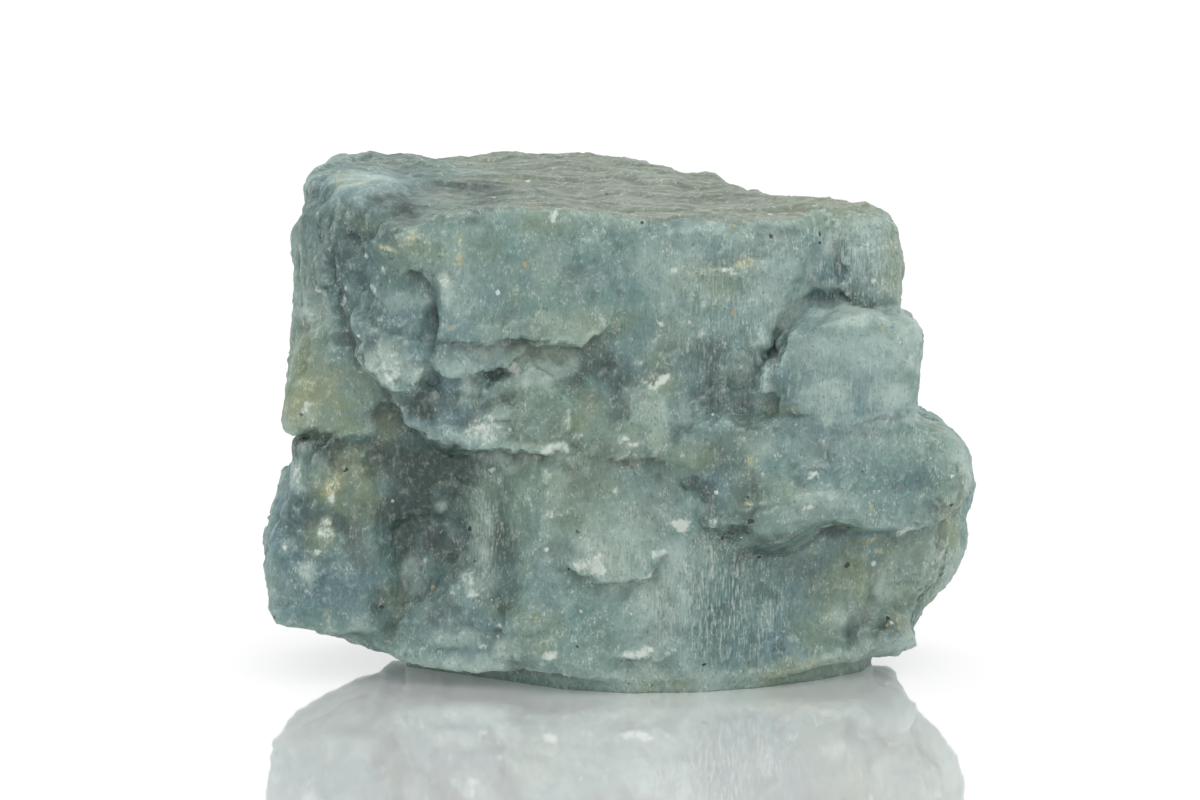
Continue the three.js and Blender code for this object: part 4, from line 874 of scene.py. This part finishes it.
class Paint:
    """Colours laid over one another in the nodes of one material."""

    def __init__(self, tree, settings):
        self.tree = tree
        self.settings = settings
        self.clouds = {name: clouds(tree, *given) for name, given in CLOUDS.items()}
        self.colour = self.solid("teal")

    def solid(self, name):
        """One of the stone's colours."""
        return (*getattr(self.settings, name), 1.0)

    def lay(self, name, share, strength):
        """Lays a colour over what is there, by a share."""
        share = maths(self.tree, "MULTIPLY", share, strength, True)
        self.colour = mixed(self.tree, share, self.colour, self.solid(name))

    def cloud(self, name, low, high):
        """A cloud stretched so that low becomes 0 and high becomes 1."""
        return ramped(self.tree, self.clouds[name], low, high)

    def mask(self, kind, low, high):
        """A mask left on the mesh, stretched so that low becomes 0 and high becomes 1."""
        return ramped(self.tree, masked(self.tree, kind), low, high)

    def swing(self, name, gain):
        """A cloud that swings about 0."""
        return self.both(maths(self.tree, "SUBTRACT", self.clouds[name], 0.5), gain)

    def both(self, first, second):
        """Where both masks lie."""
        return maths(self.tree, "MULTIPLY", first, second)

    def without(self, mask):
        """Where a mask does not lie."""
        return maths(self.tree, "SUBTRACT", 1.0, mask)


def clouded(paint):
    """The cloudy body colour, with painted shade in the hollows and crevices and painted light on the bulges
    and crests.
    """
    paint.lay("blue", paint.cloud("broad", 0.36, 0.64), 0.45)
    paint.lay("olive", paint.cloud("greenish", 0.48, 0.68), 0.35)
    paint.lay("pale", paint.cloud("milky", 0.5, 0.7), 0.4)
    paint.lay("shade", paint.cloud("milky", 0.46, 0.3), 0.25)
    paint.lay("shade", paint.cloud("small", 0.46, 0.28), 0.18)
    paint.lay("pale", paint.cloud("small", 0.54, 0.72), 0.18)
    # Painted shade deep in the hollows, painted light on the bulges.
    paint.lay("shade", paint.mask("hollow", 0.05, 0.9), 0.5)
    paint.lay("pale", paint.mask("hollow", -0.1, -0.8), 0.2)
    # Painted shade in the fine crevices, a painted highlight on the crests.
    paint.lay("shade", paint.mask("crest", -0.1, -1.0), 0.5)
    paint.lay("pale", paint.mask("crest", 0.1, 1.0), 0.2)


def patched(paint):
    """The placed patches, which paint shade and light as well as tone, and the ledges' painted shadow and
    highlight, all uneven.
    """
    uneven = maths(paint.tree, "ADD", paint.cloud("small", 0.25, 0.6), 0.35)
    for kind, colour, strength in (
        ("blue", "blue", 0.8),
        ("shade", "shade", 0.95),
        ("pale", "pale", 0.85),
        ("olive", "olive", 0.7),
        # Painted shadow below the ledges and in the cracks, and painted highlight on the ledges' lips.
        ("foot", "shade", 1.2),
        ("lip", "pale", 0.25),
    ):
        paint.lay(colour, paint.both(masked(paint.tree, kind), uneven), strength)


def layered(paint, top):
    """The drab layers of the top."""
    paint.lay("drab", paint.both(top, paint.cloud("layers", 0.15, 0.55)), 0.75)
    paint.lay("rust", paint.both(top, paint.cloud("layers", 0.46, 0.3)), 0.28)
    paint.lay("crust", paint.both(top, paint.cloud("layers", 0.6, 0.75)), 0.3)


def frosted(paint, fibre, clear):
    """Striae, fine grain and frost, with less frost where the stone isn't clear."""
    paint.lay("crust", paint.both(paint.cloud("streaks", 0.51, 0.67), fibre), 0.6)
    paint.lay("shade", paint.both(paint.cloud("streaks", 0.46, 0.3), fibre), 0.5)
    for grain, strength in (("mottled", 0.12), ("granular", 0.15)):
        paint.lay("crust", paint.cloud(grain, 0.53, 0.74), strength)
        paint.lay("shade", paint.cloud(grain, 0.47, 0.28), strength)
    clustered = paint.both(paint.cloud("mottled", 0.42, 0.66), clear)
    paint.lay("crust", paint.both(paint.cloud("flecked", 0.57, 0.67), clustered), 0.5)
    paint.lay("shade", paint.cloud("flecked", 0.37, 0.28), 0.4)
    rubbed = paint.both(paint.mask("edge", 0.2, 1.0), paint.cloud("granular", 0.4, 0.65))
    paint.lay("crust", rubbed, 0.15)


def crusted(paint):
    """Ochre stains and white crusts, which break up into crumbs towards their edges."""
    tree = paint.tree
    ragged = maths(tree, "ADD", paint.swing("granular", 1.4), paint.swing("flecked", 0.7))
    ragged = maths(tree, "ADD", paint.swing("small", 0.5), ragged)

    def crumbly(kind, fullness):
        mask = paint.both(masked(tree, kind), fullness)
        broken = paint.both(ragged, ramped(tree, mask, 0.0, 0.3))
        return ramped(tree, maths(tree, "ADD", mask, broken), 0.3, 0.85)

    rusty = paint.mask("ochre", 0.45, 0.9)
    paint.lay("ochre", paint.mask("ochre", 0.05, 0.8), 0.3)
    paint.lay("ochre", crumbly("ochre", 0.65), 0.7)
    paint.lay("rust", paint.both(rusty, paint.cloud("granular", 0.48, 0.36)), 0.4)
    paint.lay("crust", paint.both(rusty, paint.cloud("flecked", 0.52, 0.64)), 0.6)
    paint.lay("pale", paint.mask("crust", 0.05, 0.8), 0.5)
    paint.lay("crust", crumbly("crust", 0.95), 0.75)


def specked(paint, clear, bvh):
    """Dust, scattered specks and single grains."""
    tree = paint.tree
    speck = speck_group()
    dusty = paint.both(paint.cloud("milky", 0.36, 0.6), clear)
    paint.lay("crust", paint.both(scattered(tree, speck, *DUST), dusty), 0.45)
    for colour, given in SPECKS.items():
        paint.lay(colour, scattered(tree, speck, *given), 0.8)
    paint.lay("orange", grains(tree, bvh, ORANGE_GRAINS), 0.8)
    paint.lay("rust", grains(tree, bvh, RUST_GRAINS), 0.9)


def bumped(paint, fibre, top):
    """The normal of the finest relief."""
    tree = paint.tree
    fine = paint.both(paint.clouds["flecked"], 0.15)
    height = maths(tree, "ADD", paint.both(paint.clouds["granular"], 0.6), fine)
    height = maths(tree, "ADD", height, paint.both(paint.clouds["streaks"], paint.both(fibre, 1.2)))
    height = maths(tree, "ADD", height, paint.both(paint.clouds["layers"], paint.both(top, 1.6)))
    values = {"Height": height, "Strength": 0.8, "Distance": 0.25 * MM}
    return put(tree, "ShaderNodeBump", values).outputs["Normal"]


def stone_material(settings, bvh):
    """Cloudy blue-green stone with its stains, crusts, specks and grains."""
    material = bpy.data.materials.new("aquamarine")
    material.use_nodes = True
    tree = material.node_tree
    tree.nodes.clear()
    paint = Paint(tree, settings)
    shaded = masked(tree, "shade")
    fibre = masked(tree, "fibre")
    top = paint.both(masked(tree, "top"), paint.without(shaded))
    clear = paint.without(paint.both(maths(tree, "MAXIMUM", shaded, masked(tree, "calm")), 0.7))
    clouded(paint)
    patched(paint)
    layered(paint, top)
    frosted(paint, fibre, clear)
    crusted(paint)
    specked(paint, clear, bvh)
    shader = put(tree, "ShaderNodeBsdfPrincipled", {
        "Base Color": paint.colour,
        "Roughness": maths(tree, "ADD", paint.both(paint.clouds["granular"], 0.3), 0.32),
        "Normal": bumped(paint, fibre, top),
        "IOR": 1.57,
        "Subsurface Weight": 0.7,
        "Subsurface Radius": (0.8, 1.0, 1.0),
        "Subsurface Scale": 1.1 * MM,
    })
    put(tree, "ShaderNodeOutputMaterial", {"Surface": shader.outputs["BSDF"]})
    return material


class AQUAMARINE_OT_stone(bpy.types.Operator):
    """Grow the stone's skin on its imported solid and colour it"""

    bl_idname = "aquamarine.stone"
    bl_label = "Grow the stone"

    def execute(self, context):
        settings = context.scene.aquamarine_stone
        mesh = worn_mesh(settings)
        broken_skin(mesh, settings)
        stone = bpy.data.objects.new(PIECE, mesh)
        context.collection.objects.link(stone)
        bvh = BVHTree.FromObject(stone, context.evaluated_depsgraph_get())
        mesh.materials.clear()
        mesh.materials.append(stone_material(settings, bvh))
        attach(stone, BODY)
        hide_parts(NODE)
        return {"FINISHED"}


def pale_floor():
    """A white floor that mirrors a little."""
    bpy.ops.mesh.primitive_plane_add(size=FLOOR_SIZE, location=(0.0, 0.0, 0.0))
    floor = bpy.context.active_object
    floor.name = "floor"
    white = bpy.data.materials.new("pale floor")
    white.use_nodes = True
    shader = white.node_tree.nodes["Principled BSDF"].inputs
    shader["Base Color"].default_value = (0.95, 0.95, 0.95, 1.0)
    shader["Metallic"].default_value = 0.5
    shader["Emission Color"].default_value = (1.0, 1.0, 1.0, 1.0)
    shader["Emission Strength"].default_value = 0.045
    shader["Roughness"].default_value = 0.04
    floor.data.materials.append(white)
    return floor


def white_surround(strength):
    """A white world that lights the stone from all sides."""
    world = bpy.data.worlds.new("white surround")
    world.use_nodes = True
    sky = world.node_tree.nodes["Background"].inputs
    sky["Color"].default_value = (1.0, 1.0, 1.0, 1.0)
    sky["Strength"].default_value = strength
    return world


def soft_light(name, power, size, place):
    """A square soft light that faces the stone."""
    data = bpy.data.lights.new(name, "AREA")
    data.energy = power
    data.size = size
    light = bpy.data.objects.new(name, data)
    light.location = place
    light.rotation_euler = (Vector(LIT_POINT) - Vector(place)).to_track_quat("-Z", "Y").to_euler()
    bpy.context.collection.objects.link(light)


def photo_camera(settings):
    """A camera that looks at the stone's front from a little above."""
    lens = bpy.data.cameras.new("camera")
    lens.lens = settings.lens
    lens.sensor_width = SENSOR_WIDTH
    camera = bpy.data.objects.new("camera", lens)
    tilt = settings.elevation
    back = Vector((0.0, -math.cos(tilt), math.sin(tilt)))
    camera.location = CAMERA_AIM + back * settings.distance
    camera.rotation_euler = (math.pi / 2 - tilt, 0.0, 0.0)
    bpy.context.collection.objects.link(camera)
    return camera


class AQUAMARINE_OT_stage(bpy.types.Operator):
    """Lay the pale floor, set the soft lights and place the camera"""

    bl_idname = "aquamarine.stage"
    bl_label = "Set the stage"

    def execute(self, context):
        settings = context.scene.aquamarine_stage
        pale_floor()
        context.scene.world = white_surround(settings.sky)
        soft_light("overhead", settings.key, OVERHEAD_SIZE, OVERHEAD_PLACE)
        soft_light("front fill", settings.fill, FILL_SIZE, FILL_PLACE)
        context.scene.camera = photo_camera(settings)
        context.scene.view_settings.view_transform = "Standard"
        return {"FINISHED"}


class AQUAMARINE_PT_panel(bpy.types.Panel):
    """The stone's and the stage's settings in the sidebar"""

    bl_idname = "AQUAMARINE_PT_panel"
    bl_label = "Aquamarine"
    bl_space_type = "VIEW_3D"
    bl_region_type = "UI"
    bl_category = "Aquamarine"

    def draw(self, context):
        for operator, settings in (
            (AQUAMARINE_OT_stone, context.scene.aquamarine_stone),
            (AQUAMARINE_OT_stage, context.scene.aquamarine_stage),
        ):
            box = self.layout.box()
            for name in settings.__annotations__:
                box.prop(settings, name)
            box.operator(operator.bl_idname)


CLASSES = (
    AquamarineStoneSettings,
    AquamarineStageSettings,
    AQUAMARINE_OT_stone,
    AQUAMARINE_OT_stage,
    AQUAMARINE_PT_panel,
)


def register():
    for each in CLASSES:
        bpy.utils.register_class(each)
    bpy.types.Scene.aquamarine_stone = PointerProperty(type=AquamarineStoneSettings)
    bpy.types.Scene.aquamarine_stage = PointerProperty(type=AquamarineStageSettings)


def unregister():
    del bpy.types.Scene.aquamarine_stone
    del bpy.types.Scene.aquamarine_stage
    for each in reversed(CLASSES):
        bpy.utils.unregister_class(each)


def main():
    register()
    bpy.ops.aquamarine.stone()
    bpy.ops.aquamarine.stage()


if __name__ == "__main__":
    main()
